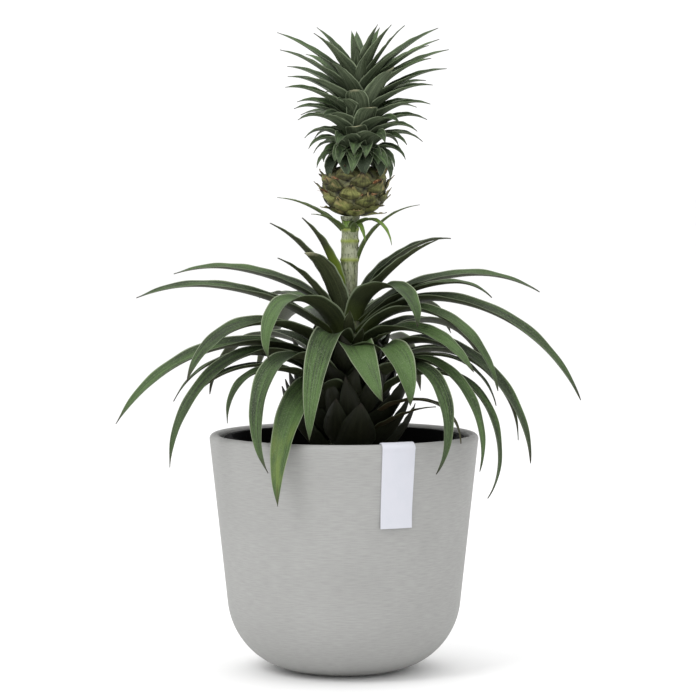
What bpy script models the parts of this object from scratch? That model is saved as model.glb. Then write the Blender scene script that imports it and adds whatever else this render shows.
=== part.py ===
"""A potted ornamental pineapple plant, for Blender 4.5.

A mini pineapple carries one small fruit with a leafy crown on an upright peduncle,
above a rosette of arching, channelled leaves. The plant stands in a thin nursery pot of
potting soil, which rests inside a heavier round cover pot. Every piece of the plant that
comes away on its own, such as a leaf or a bract, is one closed solid.

Lengths are written in millimetres and scaled to metres when a mesh is made. The origin is
the centre of the cover pot's underside, +Z is up and -Y is the front. A bearing is the
direction a leaf grows in, in degrees counterclockwise from +X, so 270 is the front.
"""

import math
from dataclasses import dataclass

import bmesh
import bpy
import numpy as np

MM = 0.001
GAP = 0.3

POT_TOP_RADIUS = 75.0
POT_HEIGHT = 132.0
POT_DRAFT = math.radians(6.0)
POT_CORNER = 42.0
POT_WALL = 5.4
POT_SEGMENTS = 48

NURSERY_RIM_RADIUS = 67.3
NURSERY_BASE_RADIUS = 40.0
NURSERY_TOP = 130.5
NURSERY_WALL = 1.2
NURSERY_LIP = 3.0
NURSERY_FLOOR = 4.4
NURSERY_SEGMENTS = 40

SOIL_TOP = 112.0
SOIL_CROWN = 3.0
SOIL_CLEARANCE = 1.2
STEM_BURIED = 26.0

STEM_FOOT = (2.0, 118.0)
STEM_HEAD = (2.8, 206.0)
STEM_FOOT_RADIUS = 12.0
STEM_HEAD_RADIUS = 5.2

FRUIT_CENTRE = (5.8, 267.0)
FRUIT_RADIUS = 17.6
FRUIT_HALF_HEIGHT = 14.4
FRUIT_ENDS = 0.965
FRUIT_FULLNESS = 2.4
FRUIT_SWELL = 0.13
FRUIT_EYES = 30
EYE_WIDTH = 0.46
EYE_HEIGHT = 0.36
EYE_RISE = 1.6

PEDUNCLE_TOP = (3.4, FRUIT_CENTRE[1] - FRUIT_ENDS * FRUIT_HALF_HEIGHT - GAP)
PEDUNCLE_RADIUS = 4.6
PEDUNCLE_RINGS = (228.5, 239.0, 245.5)

CROWN_FOOT = (7.6, FRUIT_CENTRE[1] + FRUIT_ENDS * FRUIT_HALF_HEIGHT + GAP)
CROWN_HEAD = (9.0, 329.0)
CROWN_TOP = 358.6
CROWN_ROOT_SHARE = 0.54
CROWN_ARCH = (7.0, 3.0)
CROWN_BACK_LEAVES = 14

TAG_WIDTH = 19.0
TAG_DROP = 46.0
TAG_INSIDE = 14.0
TAG_THICKNESS = 0.9
TAG_BEARING = math.radians(292.5)

GOLDEN_ANGLE = math.radians(137.508)


@dataclass(frozen=True)
class Blade:
    """One leaf or bract: where it leaves its stalk, the bend in its middle, and its tip.

    crest and tip are (reach from the stalk's axis, height). sway is how far the tip
    swings sideways out of the leaf's own upright plane.
    """

    bearing: float
    root: float
    crest: tuple
    tip: tuple
    width: float
    sway: float = 0.0


@dataclass(frozen=True)
class Habit:
    """One kind of leaf: its stations, its foot's share of the width, thickness and gutter."""

    stations: int
    foot: float
    thickness: float
    channel: float


LEAF = Habit(12, 0.3, 1.3, 0.16)
BRACT = Habit(8, 0.6, 0.8, 0.12)
CROWN_LEAF = Habit(6, 0.7, 1.0, 0.02)

ROSETTE = (
    # The youngest leaves, upright round the peduncle.
    Blade(196, 205, (14, 234), (27, 252), 13),
    Blade(185, 202, (25, 234), (44, 249), 12),
    Blade(224, 192, (16, 219), (28, 231), 14),
    Blade(201, 188, (24, 217), (42, 230), 9),
    Blade(15, 203, (38, 235), (59, 240), 12),
    Blade(350, 200, (28, 226), (50, 240), 11),
    Blade(108, 199, (28, 213), (52, 215), 13),
    Blade(315, 195, (34, 214), (53, 193), 16),
    # Upper arching leaves.
    Blade(170, 197, (60, 222), (100, 220), 16),
    Blade(8, 193, (62, 219), (108, 210), 16),
    Blade(350, 189, (58, 216), (80, 208), 13),
    Blade(134, 192, (44, 207), (74, 205), 15),
    Blade(188, 184, (70, 213), (118, 208), 17),
    Blade(345, 187, (58, 206), (131, 153), 17),
    Blade(48, 184, (52, 204), (88, 184), 17),
    Blade(228, 181, (54, 206), (70, 176), 18, 6),
    Blade(329, 181, (48, 201), (94, 159), 14),
    Blade(84, 182, (52, 201), (112, 180), 17),
    Blade(319, 175, (40, 191), (89, 170), 17),
    Blade(270, 185, (15, 195), (18, 201), 8),
    Blade(118, 176, (56, 198), (116, 158), 17),
    # Middle leaves.
    Blade(28, 174, (56, 192), (88, 164), 17),
    Blade(255, 172, (38, 188), (75, 134), 18, -2),
    Blade(303, 172, (28, 185), (43, 190), 6),
    Blade(212, 168, (62, 194), (103, 164), 19),
    Blade(285, 172, (22, 186), (31, 192), 6),
    Blade(270, 162, (30, 182), (60, 154), 19, 18),
    Blade(300, 158, (46, 179), (68, 153), 17),
    Blade(66, 162, (60, 182), (106, 148), 17),
    Blade(338, 161, (51, 183), (107, 119), 17),
    Blade(150, 161, (58, 184), (92, 150), 17),
    Blade(191, 155, (62, 176), (98, 151), 11),
    Blade(336, 155, (60, 176), (88, 150), 8),
    Blade(200, 162, (66, 182), (135, 141), 18),
    # Lower leaves, which bend over the rim.
    Blade(213, 150, (64, 178), (114, 119), 15),
    Blade(12, 154, (58, 176), (98, 126), 15),
    Blade(245, 141, (46, 160), (89, 100), 19),
    Blade(314, 146, (66, 168), (82, 116), 16, -14),
    Blade(322, 150, (61, 172), (90, 116), 14),
    Blade(198, 148, (58, 170), (100, 137), 10),
    Blade(220, 145, (70, 168), (91, 143), 13, 8),
    Blade(100, 148, (60, 170), (97, 122), 15),
    Blade(233, 151, (68, 173), (84, 117), 16, 10),
    Blade(331, 140, (72, 163), (87, 100), 12),
    Blade(325, 134, (58, 151), (75, 130), 7),
    Blade(318, 129, (45, 146), (64, 150), 6),
)

CROWN_LEAVES = (
    # Left, from the bottom up, as (bearing, reach, tip height, width).
    (200, 24.5, 279.5, 8),
    (160, 26, 287.5, 9),
    (192, 28.5, 290, 9),
    (168, 31, 296, 10),
    (203, 37, 305.6, 12),
    (188, 36, 312, 11),
    (165, 35, 316, 11),
    (200, 43.5, 323.5, 11),
    (212, 38, 328.5, 12),
    (160, 42.5, 336, 10),
    (195, 46, 344, 11),
    (168, 46.5, 354.5, 9),
    (158, 26, 357.5, 10),
    (216, 31, 353, 12),
    # Right, from the bottom up.
    (335, 23, 280, 8),
    (352, 26.5, 284, 9),
    (340, 28, 292, 10),
    (10, 36, 294, 10),
    (345, 33.5, 299.5, 10),
    (5, 38, 306, 10),
    (350, 40, 314.5, 11),
    (15, 34, 316, 10),
    (347, 41, 325, 11),
    (12, 38.5, 328, 10),
    (355, 48.5, 334, 10),
    (345, 41, 339.5, 11),
    (8, 50, 345, 10),
    (352, 44.5, 350, 10),
    (318, 30, 344, 11),
    (14, 45, 357.2, 10),
    (340, 27, 357.5, 7),
    # Front, from the bottom up: the lowest fold down over the fruit.
    (263, 20.5, 276.5, 9),
    (310, 22.5, 278.5, 10),
    (237, 22.5, 281, 10),
    (287, 22, 284.5, 10),
    (265, 21, 286, 10),
    (240, 27, 291.5, 12),
    (302, 27, 293, 12),
    (266, 17.5, 302, 10),
    (222, 29, 307, 12),
    (318, 30, 304, 12),
    (293, 18.5, 312.5, 11),
    (240, 24, 316, 12),
    (268, 18.5, 322, 11),
    (308, 27.5, 334, 13),
    (228, 27, 337, 12),
    (282, 17, 341, 10),
    (258, 11, 347, 8),
    (330, 19.5, 358.5, 11),
    (46, 15, 358, 9),
    (110, 13, 356, 9),
)

PEDUNCLE_BRACTS = (
    Blade(172, 244.5, (23, 258), (41, 263), 6),
    Blade(205, 245.5, (13, 251.5), (24, 254), 6),
    Blade(262, 246, (10, 250), (14, 246), 8),
    Blade(323, 246.5, (16, 250.5), (29, 237), 6),
    Blade(294, 244, (11, 248.5), (20, 238), 5),
    Blade(2, 228.5, (19, 250), (39, 259), 6),
)


def material(name, colour, roughness):
    """A plain Principled material, so that each sub-part reads apart."""
    made = bpy.data.materials.new(name)
    made.use_nodes = True
    shader = made.node_tree.nodes["Principled BSDF"]
    shader.inputs["Base Color"].default_value = (*colour, 1.0)
    shader.inputs["Roughness"].default_value = roughness
    return made


def solid(name, points, faces, finish, sharp_angle=50.0):
    """Makes one object from points in millimetres and its faces, with outward normals."""
    mesh = bpy.data.meshes.new(name)
    mesh.from_pydata([tuple(point) for point in np.asarray(points) * MM], [], faces)
    builder = bmesh.new()
    builder.from_mesh(mesh)
    bmesh.ops.recalc_face_normals(builder, faces=builder.faces)
    builder.to_mesh(mesh)
    builder.free()
    mesh.shade_smooth()
    mesh.set_sharp_from_angle(angle=math.radians(sharp_angle))
    mesh.materials.append(finish)
    made = bpy.data.objects.new(name, mesh)
    bpy.context.scene.collection.objects.link(made)
    return made


def arc(centre, radius, start, end, steps):
    """Points (r, z) on a circle round centre, from angle start to end in degrees."""
    angles = np.radians(np.linspace(start, end, steps + 1))
    return [(centre[0] + radius * math.cos(a), centre[1] + radius * math.sin(a)) for a in angles]


def turned(name, profile, segments, finish, lean=None):
    """Turns a profile of (r, z) points, on the axis at both ends, round +Z.

    lean gives the axis's x at a height, for a stalk that isn't upright.
    """
    angles = np.arange(segments) * 2 * math.pi / segments
    rings = profile[1:-1]
    points = []
    for radius, height in rings:
        shift = lean(height) if lean else 0.0
        points += [(shift + radius * math.cos(a), radius * math.sin(a), height) for a in angles]
    faces = []
    last = (len(rings) - 1) * segments
    for low in range(0, last, segments):
        for i in range(segments):
            j = (i + 1) % segments
            faces.append((low + i, low + j, low + segments + j, low + segments + i))
    for start, (_, height) in ((0, profile[0]), (last, profile[-1])):
        pole = len(points)
        points.append((lean(height) if lean else 0.0, 0.0, height))
        faces += [(pole, start + i, start + (i + 1) % segments) for i in range(segments)]
    return solid(name, points, faces, finish)


def pot_outline(offset):
    """The cover pot's side as (r, z), moved inwards by offset, from the floor's edge up."""
    corner = POT_CORNER - offset
    wall_at_corner = POT_TOP_RADIUS - (POT_HEIGHT - POT_CORNER) * math.tan(POT_DRAFT)
    centre = (wall_at_corner - POT_CORNER / math.cos(POT_DRAFT), POT_CORNER)
    return arc(centre, corner, -90, -math.degrees(POT_DRAFT), 9)


def wall_radius(height):
    """The cover pot's outer radius on its straight side."""
    return POT_TOP_RADIUS - (POT_HEIGHT - height) * math.tan(POT_DRAFT)


def cover_pot(finish):
    """A thick tapered pot with a big round corner, a flat foot and a soft rim."""
    lip = POT_WALL / 2
    middle = POT_TOP_RADIUS - lip
    rim = arc((middle, POT_HEIGHT - lip), lip, 0, 180, 6)
    outer = [(0.0, 0.0)] + pot_outline(0.0)
    inner = list(reversed(pot_outline(POT_WALL))) + [(0.0, POT_WALL)]
    return turned("cover_pot", outer + rim + inner, POT_SEGMENTS, finish)


def nursery_floor():
    """The height where the nursery pot's edge comes to rest in the cover pot's corner."""
    inner = POT_CORNER - POT_WALL
    centre = pot_outline(0.0)[0][0]
    return POT_CORNER - math.sqrt(inner**2 - (NURSERY_BASE_RADIUS - centre) ** 2) + 2 * GAP


def nursery_radius(height):
    """The nursery pot's outer radius below its lip."""
    foot = nursery_floor()
    share = (height - foot) / (NURSERY_TOP - foot)
    return NURSERY_BASE_RADIUS + share * (NURSERY_RIM_RADIUS - NURSERY_LIP - NURSERY_BASE_RADIUS)


def nursery_pot(finish):
    """A thin-walled growing pot with a rolled lip."""
    foot = nursery_floor()
    top = NURSERY_TOP
    neck = nursery_radius(top - 8)
    profile = [
        (0.0, foot + 3.0),
        (NURSERY_BASE_RADIUS - 9, foot + 3.0),
        (NURSERY_BASE_RADIUS - 7, foot),
        (NURSERY_BASE_RADIUS, foot),
        (neck, top - 8),
        (NURSERY_RIM_RADIUS - 0.6, top - 7),
        (NURSERY_RIM_RADIUS, top - 0.8),
        (NURSERY_RIM_RADIUS - 0.8, top),
        (nursery_radius(top) - NURSERY_WALL, top),
        (NURSERY_BASE_RADIUS - NURSERY_WALL - 1.0, foot + NURSERY_FLOOR),
        (0.0, foot + NURSERY_FLOOR),
    ]
    return turned("nursery_pot", profile, NURSERY_SEGMENTS, finish)


def potting_soil(finish):
    """The soil, as a plug in the nursery pot with a socket for the stem's foot."""
    floor = nursery_floor() + NURSERY_FLOOR + GAP
    side = nursery_radius(SOIL_TOP) - NURSERY_WALL - SOIL_CLEARANCE
    socket = STEM_FOOT_RADIUS + abs(STEM_FOOT[0]) + GAP
    depth = SOIL_TOP - STEM_BURIED
    edge = NURSERY_BASE_RADIUS - NURSERY_WALL - 3.0
    profile = [(0.0, floor), (edge - 4, floor), (edge, floor + 4)]
    profile += [(side, SOIL_TOP - 2), (side - 2, SOIL_TOP)]
    profile += [(r, SOIL_TOP + SOIL_CROWN * (1 - (r / side) ** 2)) for r in (42.0, 28.0)]
    profile += [(socket, SOIL_TOP + SOIL_CROWN), (socket, depth), (0.0, depth)]
    return turned("potting_soil", profile, NURSERY_SEGMENTS, finish)


def stem_x(height):
    """The x of the stem's axis at a height: the shoot leans a little to the right."""
    share = (height - STEM_FOOT[1]) / (STEM_HEAD[1] - STEM_FOOT[1])
    return STEM_FOOT[0] + max(share, 0.0) * (STEM_HEAD[0] - STEM_FOOT[0])


def stem_radius(height):
    """The stem's radius at a height, tapering evenly above the soil."""
    share = (height - STEM_FOOT[1]) / (STEM_HEAD[1] - STEM_FOOT[1])
    share = min(max(share, 0.0), 1.0)
    return STEM_FOOT_RADIUS + share * (STEM_HEAD_RADIUS - STEM_FOOT_RADIUS)


def stem(finish):
    """The short leafy stem, from inside the soil up to the peduncle."""
    bottom = SOIL_TOP - STEM_BURIED + GAP
    profile = [(0.0, bottom), (STEM_FOOT_RADIUS - 3, bottom), (STEM_FOOT_RADIUS, bottom + 4)]
    profile += [(stem_radius(z), z) for z in np.linspace(STEM_FOOT[1], STEM_HEAD[1] - 0.8, 7)]
    profile += [(STEM_HEAD_RADIUS - 0.8, STEM_HEAD[1]), (0.0, STEM_HEAD[1])]
    return turned("stem", profile, 20, finish, stem_x)


def peduncle_x(height):
    """The x of the peduncle's axis at a height."""
    share = (height - STEM_HEAD[1]) / (PEDUNCLE_TOP[1] - STEM_HEAD[1])
    return STEM_HEAD[0] + share * (PEDUNCLE_TOP[0] - STEM_HEAD[0])


def peduncle(finish):
    """The bare stalk between the leaves and the fruit, with a ridge at each joint."""
    foot = STEM_HEAD[1] + GAP
    top = PEDUNCLE_TOP[1]
    profile = [(0.0, foot), (PEDUNCLE_RADIUS, foot)]
    for height in PEDUNCLE_RINGS:
        profile += [(PEDUNCLE_RADIUS, height - 1.6), (PEDUNCLE_RADIUS + 0.7, height)]
        profile += [(PEDUNCLE_RADIUS, height + 1.6)]
    profile += [(PEDUNCLE_RADIUS + 1.0, top - 1.5), (PEDUNCLE_RADIUS + 1.0, top), (0.0, top)]
    return turned("peduncle", profile, 20, finish, peduncle_x)


def girth(level):
    """The fruit's radius at a level from -1 to 1: a superellipse, swollen above the middle."""
    barrel = (1 - abs(level) ** FRUIT_FULLNESS) ** (1 / FRUIT_FULLNESS)
    return FRUIT_RADIUS * barrel * (1 + FRUIT_SWELL * level)


def eye_rise(azimuth, level):
    """How high the skin stands in its nearest eye: 1 at the top and 0 at the seam."""
    rise = 0.0
    for i in range(FRUIT_EYES):
        eye_level = -0.9 + 1.76 * (i + 0.5) / FRUIT_EYES
        turn = math.remainder(azimuth - i * GOLDEN_ANGLE, 2 * math.pi)
        across = turn * girth(level) / FRUIT_RADIUS / EYE_WIDTH
        rise = max(rise, 1 - across**2 - ((level - eye_level) / EYE_HEIGHT) ** 2)
    return rise


def fruit(finish):
    """The little fruit: a squat barrel whose skin swells over each eye of a spiral."""
    segments = 40
    levels = np.linspace(-FRUIT_ENDS, FRUIT_ENDS, 15)
    points = []
    for level in levels:
        height = FRUIT_CENTRE[1] + FRUIT_HALF_HEIGHT * level
        for i in range(segments):
            azimuth = i * 2 * math.pi / segments
            radius = girth(level) + EYE_RISE * (eye_rise(azimuth, level) - 0.5)
            x = FRUIT_CENTRE[0] + radius * math.cos(azimuth)
            points.append((x, radius * math.sin(azimuth), height))
    last = (len(levels) - 1) * segments
    faces = [tuple(range(segments)), tuple(range(last, last + segments))]
    for low in range(0, last, segments):
        for i in range(segments):
            j = (i + 1) % segments
            faces.append((low + i, low + j, low + segments + j, low + segments + i))
    return solid("fruit", points, faces, finish)


def unit(vector):
    """The vector at length 1."""
    return vector / np.linalg.norm(vector)


def blade_path(root, crest, tip, stations):
    """Two curves that meet smoothly at the crest, each close to a circle's arc.

    The direction at the crest is the mean of the two chords' directions, and the
    direction at each far end is that one mirrored in its own chord. A leaf never
    leans back into its stalk.
    """
    root, crest, tip = (np.array(point, float) for point in (root, crest, tip))
    rise, fall = unit(crest - root), unit(tip - crest)
    middle = unit(rise + fall)
    start = 2 * rise.dot(middle) * rise - middle
    end = 2 * fall.dot(middle) * fall - middle
    start = unit(np.maximum(start, (0.1, -1.0)))
    fine = np.linspace(0, 1, 20)[:, None]
    pieces = []
    for a, leave, b, arrive in ((root, start, crest, middle), (crest, middle, tip, end)):
        reach = 0.36 * np.linalg.norm(b - a)
        first, second = a + leave * reach, b - arrive * reach
        pieces.append(
            (1 - fine) ** 3 * a
            + 3 * (1 - fine) ** 2 * fine * first
            + 3 * (1 - fine) * fine**2 * second
            + fine**3 * b
        )
    path = np.concatenate([pieces[0], pieces[1][1:]])
    run = np.concatenate([[0], np.cumsum(np.linalg.norm(np.diff(path, axis=0), axis=1))])
    share = np.linspace(0, 1, stations)
    return np.stack([np.interp(share, run / run[-1], path[:, axis]) for axis in (0, 1)], 1)


def blade_mesh(blade, stalk_x, stalk_radius, habit):
    """Points and faces of one leaf: a V-channelled strip that ends in a point.

    Each station across the leaf has four corners: two thin margins, and the top and
    the underside of the keel between them.
    """
    azimuth = math.radians(blade.bearing)
    outward = np.array([math.cos(azimuth), math.sin(azimuth), 0.0])
    sideways = np.array([-math.sin(azimuth), math.cos(azimuth), 0.0])
    up = np.array([0.0, 0.0, 1.0])
    start = (stalk_radius(blade.root) + GAP + habit.thickness / 2, blade.root)
    path = blade_path(start, blade.crest, blade.tip, habit.stations)
    share = np.linspace(0, 1, habit.stations)
    centre = path[:, :1] * outward + path[:, 1:] * up
    centre += (blade.sway * share**2)[:, None] * sideways
    centre += np.array([stalk_x(blade.root), 0.0, 0.0])
    along = np.gradient(centre, axis=0)
    along /= np.linalg.norm(along, axis=1)[:, None]
    normal = np.cross(along, sideways)
    normal /= np.linalg.norm(normal, axis=1)[:, None]
    across = np.cross(normal, along)
    foot = habit.foot + (1 - habit.foot) * np.clip(share / 0.35, 0, 1)
    half = blade.width / 2 * foot * (1 - share**2.6) ** 0.9
    lift = 2 * half * habit.channel * np.clip(share / 0.2, 0, 1)
    depth = habit.thickness / 2 * (1 - 0.6 * share)
    points = []
    for i in range(habit.stations - 1):
        edge = normal[i] * lift[i]
        points.append(centre[i] + across[i] * half[i] + edge)
        points.append(centre[i] + normal[i] * depth[i])
        points.append(centre[i] - across[i] * half[i] + edge)
        points.append(centre[i] - normal[i] * depth[i])
    faces = [(0, 1, 2, 3)]
    for i in range(habit.stations - 2):
        for k in range(4):
            a, b = i * 4 + k, i * 4 + (k + 1) % 4
            faces.append((a, b, b + 4, a + 4))
    last = (habit.stations - 2) * 4
    points.append(centre[-1])
    faces += [(last + k, last + (k + 1) % 4, len(points) - 1) for k in range(4)]
    return points, faces


def rosette(finish):
    """The arching leaves, each its own solid against the stem."""
    for number, blade in enumerate(ROSETTE, start=1):
        points, faces = blade_mesh(blade, stem_x, stem_radius, LEAF)
        solid(f"leaf_{number:02d}", points, faces, finish)


def peduncle_bracts(finish):
    """The small leaves on the stalk just below the fruit."""

    def radius(_):
        return PEDUNCLE_RADIUS + 0.8

    for number, blade in enumerate(PEDUNCLE_BRACTS, start=1):
        points, faces = blade_mesh(blade, peduncle_x, radius, BRACT)
        solid(f"peduncle_bract_{number}", points, faces, finish)


def crown_x(height):
    """The x of the crown's axis at a height."""
    share = (height - CROWN_FOOT[1]) / (CROWN_HEAD[1] - CROWN_FOOT[1])
    return CROWN_FOOT[0] + share * (CROWN_HEAD[0] - CROWN_FOOT[0])


def crown_blade(bearing, reach, height, width):
    """One crown leaf from its tip: rooted about half way down, and arched most low down."""
    share = (height - CROWN_FOOT[1]) / (CROWN_TOP - CROWN_FOOT[1])
    root = CROWN_FOOT[1] + 1.5 + CROWN_ROOT_SHARE * max(height - CROWN_FOOT[1], 0.0)
    arch = CROWN_ARCH[0] + share * (CROWN_ARCH[1] - CROWN_ARCH[0])
    crest = (0.6 * reach, root + 0.6 * (height - root) + arch)
    return Blade(bearing, root, crest, (reach, height), width)


def crown_blades():
    """The leaves of the crown: those of the table, then the ones at the back."""
    blades = [crown_blade(*leaf) for leaf in CROWN_LEAVES]
    for i in range(CROWN_BACK_LEAVES):
        share = i / (CROWN_BACK_LEAVES - 1)
        spread = math.sin(math.pi / 2 * min(share / 0.7, 1.0))
        reach = 23 + 23 * spread - 12 * max(0.0, share - 0.85) / 0.15
        bearing = 90 + 58 * math.sin(2.4 * i)
        height = CROWN_FOOT[1] + 2 + (CROWN_TOP - 4 - CROWN_FOOT[1]) * share
        blades.append(crown_blade(bearing, reach, height, 11 - 2 * share))
    return blades


def crown(finish):
    """The leafy crown: a short core with its leaves grown on, joined into one body."""
    low, high = CROWN_FOOT[1], CROWN_HEAD[1]
    profile = [(0.0, low), (8.0, low), (8.6, low + 5)]
    profile += [(9.0 - 4.0 * s, low + 5 + (high - low - 5) * s) for s in (0.35, 0.7)]
    profile += [(5.0, high), (0.0, high)]
    core = turned("crown", profile, 16, finish, crown_x)
    leaves = bpy.data.collections.new("crown_leaves")
    bpy.context.scene.collection.children.link(leaves)

    def radius(height):
        return max(1.0, 6.0 - 5.0 * (height - low) / (high - low))

    for number, blade in enumerate(crown_blades(), start=1):
        points, faces = blade_mesh(blade, crown_x, radius, CROWN_LEAF)
        leaf = solid(f"crown_leaf_{number:02d}", points, faces, finish)
        bpy.context.scene.collection.objects.unlink(leaf)
        leaves.objects.link(leaf)
        leaf.hide_render = True
        leaf.display_type = "WIRE"
    join = core.modifiers.new("grown_together", "BOOLEAN")
    join.operation = "UNION"
    join.operand_type = "COLLECTION"
    join.collection = leaves
    join.solver = "EXACT"
    return core


def hang_tag(finish):
    """A bare card strip folded over the rim: long outside, short inside."""
    inside = POT_WALL + GAP
    half = TAG_WIDTH / 2 / POT_TOP_RADIUS
    path = []
    for low in (POT_HEIGHT - TAG_DROP, POT_HEIGHT - 3):
        path.append((wall_radius(low) + GAP, low))
    lip = POT_WALL / 2 + GAP
    middle = (POT_TOP_RADIUS - POT_WALL / 2, POT_HEIGHT - POT_WALL / 2)
    path += arc(middle, lip, 10, 170, 6)
    for low in (POT_HEIGHT - 3, POT_HEIGHT - TAG_INSIDE):
        path.append((wall_radius(low) - inside - 0.2, low))
    path = np.array(path)
    along = np.gradient(path, axis=0)
    along /= np.linalg.norm(along, axis=1)[:, None]
    outward = np.stack([along[:, 1], -along[:, 0]], 1)
    outline = np.concatenate([path, (path + outward * TAG_THICKNESS)[::-1]])
    columns = 5
    points = []
    for azimuth in TAG_BEARING + np.linspace(-half, half, columns):
        for radius, height in outline:
            points.append((radius * math.cos(azimuth), radius * math.sin(azimuth), height))
    count = len(outline)
    faces = []
    for column in range(columns - 1):
        for i in range(count):
            j = (i + 1) % count
            low, high = column * count, (column + 1) * count
            faces.append((low + i, low + j, high + j, high + i))
    steps = len(path)
    for start in (0, (columns - 1) * count):
        for i in range(steps - 1):
            faces.append((start + i, start + i + 1, start + count - 2 - i, start + count - 1 - i))
    return solid("hang_tag", points, faces, finish, 30.0)


def main():
    """Builds the plant from the pot upwards."""
    for old in list(bpy.data.objects):
        bpy.data.objects.remove(old)
    stone_grey = material("recycled_plastic_grey", (0.45, 0.45, 0.44), 0.8)
    black = material("nursery_plastic", (0.02, 0.02, 0.02), 0.5)
    earth = material("soil", (0.05, 0.03, 0.02), 0.95)
    card = material("tag_card", (0.78, 0.79, 0.82), 0.6)
    stalk = material("stalk_green", (0.22, 0.26, 0.12), 0.6)
    leaf_green = material("leaf_green", (0.08, 0.14, 0.05), 0.5)
    fresh_green = material("fresh_green", (0.16, 0.28, 0.06), 0.5)
    skin = material("fruit_skin", (0.20, 0.17, 0.07), 0.6)
    cover_pot(stone_grey)
    nursery_pot(black)
    potting_soil(earth)
    hang_tag(card)
    stem(stalk)
    rosette(leaf_green)
    peduncle(stalk)
    peduncle_bracts(fresh_green)
    fruit(skin)
    crown(leaf_green)


main()
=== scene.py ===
"""The looks of a potted ornamental pineapple plant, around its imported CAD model.

Every visible surface is made here, in the CAD model's own frame, and stands for the plain
solid of the same sub-part: the moulded cover pot, the nursery pot and its soil, the card tag,
the stem with its arching leaves, the fruit stalk, the fruit and the crown.

Lengths in the tables are millimetres. A bearing is the direction a leaf grows in, in degrees
counterclockwise from +X, so 270 is the front.
"""

import logging
import math
from collections.abc import Callable, Iterable
from dataclasses import dataclass, field
from enum import Enum
from itertools import combinations

import bpy
import numpy as np
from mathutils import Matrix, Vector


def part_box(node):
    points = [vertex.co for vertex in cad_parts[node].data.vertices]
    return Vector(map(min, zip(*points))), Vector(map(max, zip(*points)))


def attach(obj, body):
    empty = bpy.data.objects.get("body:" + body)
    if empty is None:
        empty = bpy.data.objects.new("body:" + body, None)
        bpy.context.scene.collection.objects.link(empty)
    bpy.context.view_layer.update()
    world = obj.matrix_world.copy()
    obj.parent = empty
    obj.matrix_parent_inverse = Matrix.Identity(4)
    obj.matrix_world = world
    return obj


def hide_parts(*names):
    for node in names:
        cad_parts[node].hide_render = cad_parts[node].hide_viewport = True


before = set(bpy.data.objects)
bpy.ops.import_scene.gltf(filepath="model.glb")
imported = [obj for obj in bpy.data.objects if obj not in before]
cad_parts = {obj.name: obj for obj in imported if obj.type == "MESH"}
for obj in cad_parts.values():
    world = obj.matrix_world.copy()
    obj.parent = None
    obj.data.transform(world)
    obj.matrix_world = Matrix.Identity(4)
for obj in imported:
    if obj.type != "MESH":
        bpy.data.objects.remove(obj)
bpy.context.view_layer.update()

log = logging.getLogger("pineapple")

Array = np.ndarray
Material = bpy.types.Material
Socket = bpy.types.NodeSocket
Triple = tuple[float, float, float]
# A mask's low and high, and what it stands for at each of them: (low, high, start, end).
Span = tuple[float, float, float, float]

MM = 0.001
GOLDEN_ANGLE = math.radians(137.508)
UP = np.array([0.0, 0.0, 1.0])
# A strip's section: how full its lens is, how much thinner it gets towards the tip, and the
# ruffles of its margins, in radians from foot to tip.
LENS_ROUNDNESS = 0.6
TIP_THINNING = 0.45
LONG_WAVE, SHORT_WAVE = 23, 41


class Slot(Enum):
    """The record's material slots."""

    COVER_POT = "cover_pot"
    NURSERY = "nursery_plastic"
    SOIL = "soil"
    TAG = "tag_card"
    STALK = "stalk"
    LEAF = "leaf"
    BRACT = "bract"
    FRUIT = "fruit"
    CROWN = "crown_leaf"


# --------------------------------------------------------------------------- surfaces


def unit(vectors: Array) -> Array:
    """Vectors at length 1, along the last axis."""
    return vectors / np.linalg.norm(vectors, axis=-1, keepdims=True)


def share_of(value: Array, low: float, high: float) -> Array:
    """How far a value is on the way from low to high: 0 at low, 1 at high."""
    return (value - low) / (high - low)


def between(start: float, end: float, share: Array) -> Array:
    """The value a share of the way from start to end."""
    return start + share * (end - start)


def smooth_step(values: Array, low: float, high: float) -> Array:
    """0 below low, 1 above high, and 3t^2 - 2t^3 between them."""
    t = np.clip(share_of(values, low, high), 0.0, 1.0)
    return t * t * (3 - 2 * t)


def ripples(points: Array, length: float, seed: int, waves: int = 7) -> Array:
    """A smooth random field, about -1 to 1: the mean of sine waves in random directions.

    Args:
        points: Places to read the field at, (..., 3), in millimetres.
        length: The typical wavelength in millimetres.
        seed: Chooses the field.
        waves: How many sine waves are added.

    Returns:
        One value for each point.
    """
    random = np.random.default_rng(seed)
    directions = unit(random.normal(size=(waves, 3)))
    rates = 2 * math.pi / (length * random.uniform(0.6, 1.6, waves))
    phases = random.uniform(0, 2 * math.pi, waves)
    return np.sin((points @ directions.T) * rates + phases).sum(axis=-1) / math.sqrt(waves)


def placed(name: str, data: bpy.types.ID) -> bpy.types.Object:
    """A new object in the scene, made of a mesh, a light or a camera."""
    made = bpy.data.objects.new(name, data)
    bpy.context.scene.collection.objects.link(made)
    return made


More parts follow.
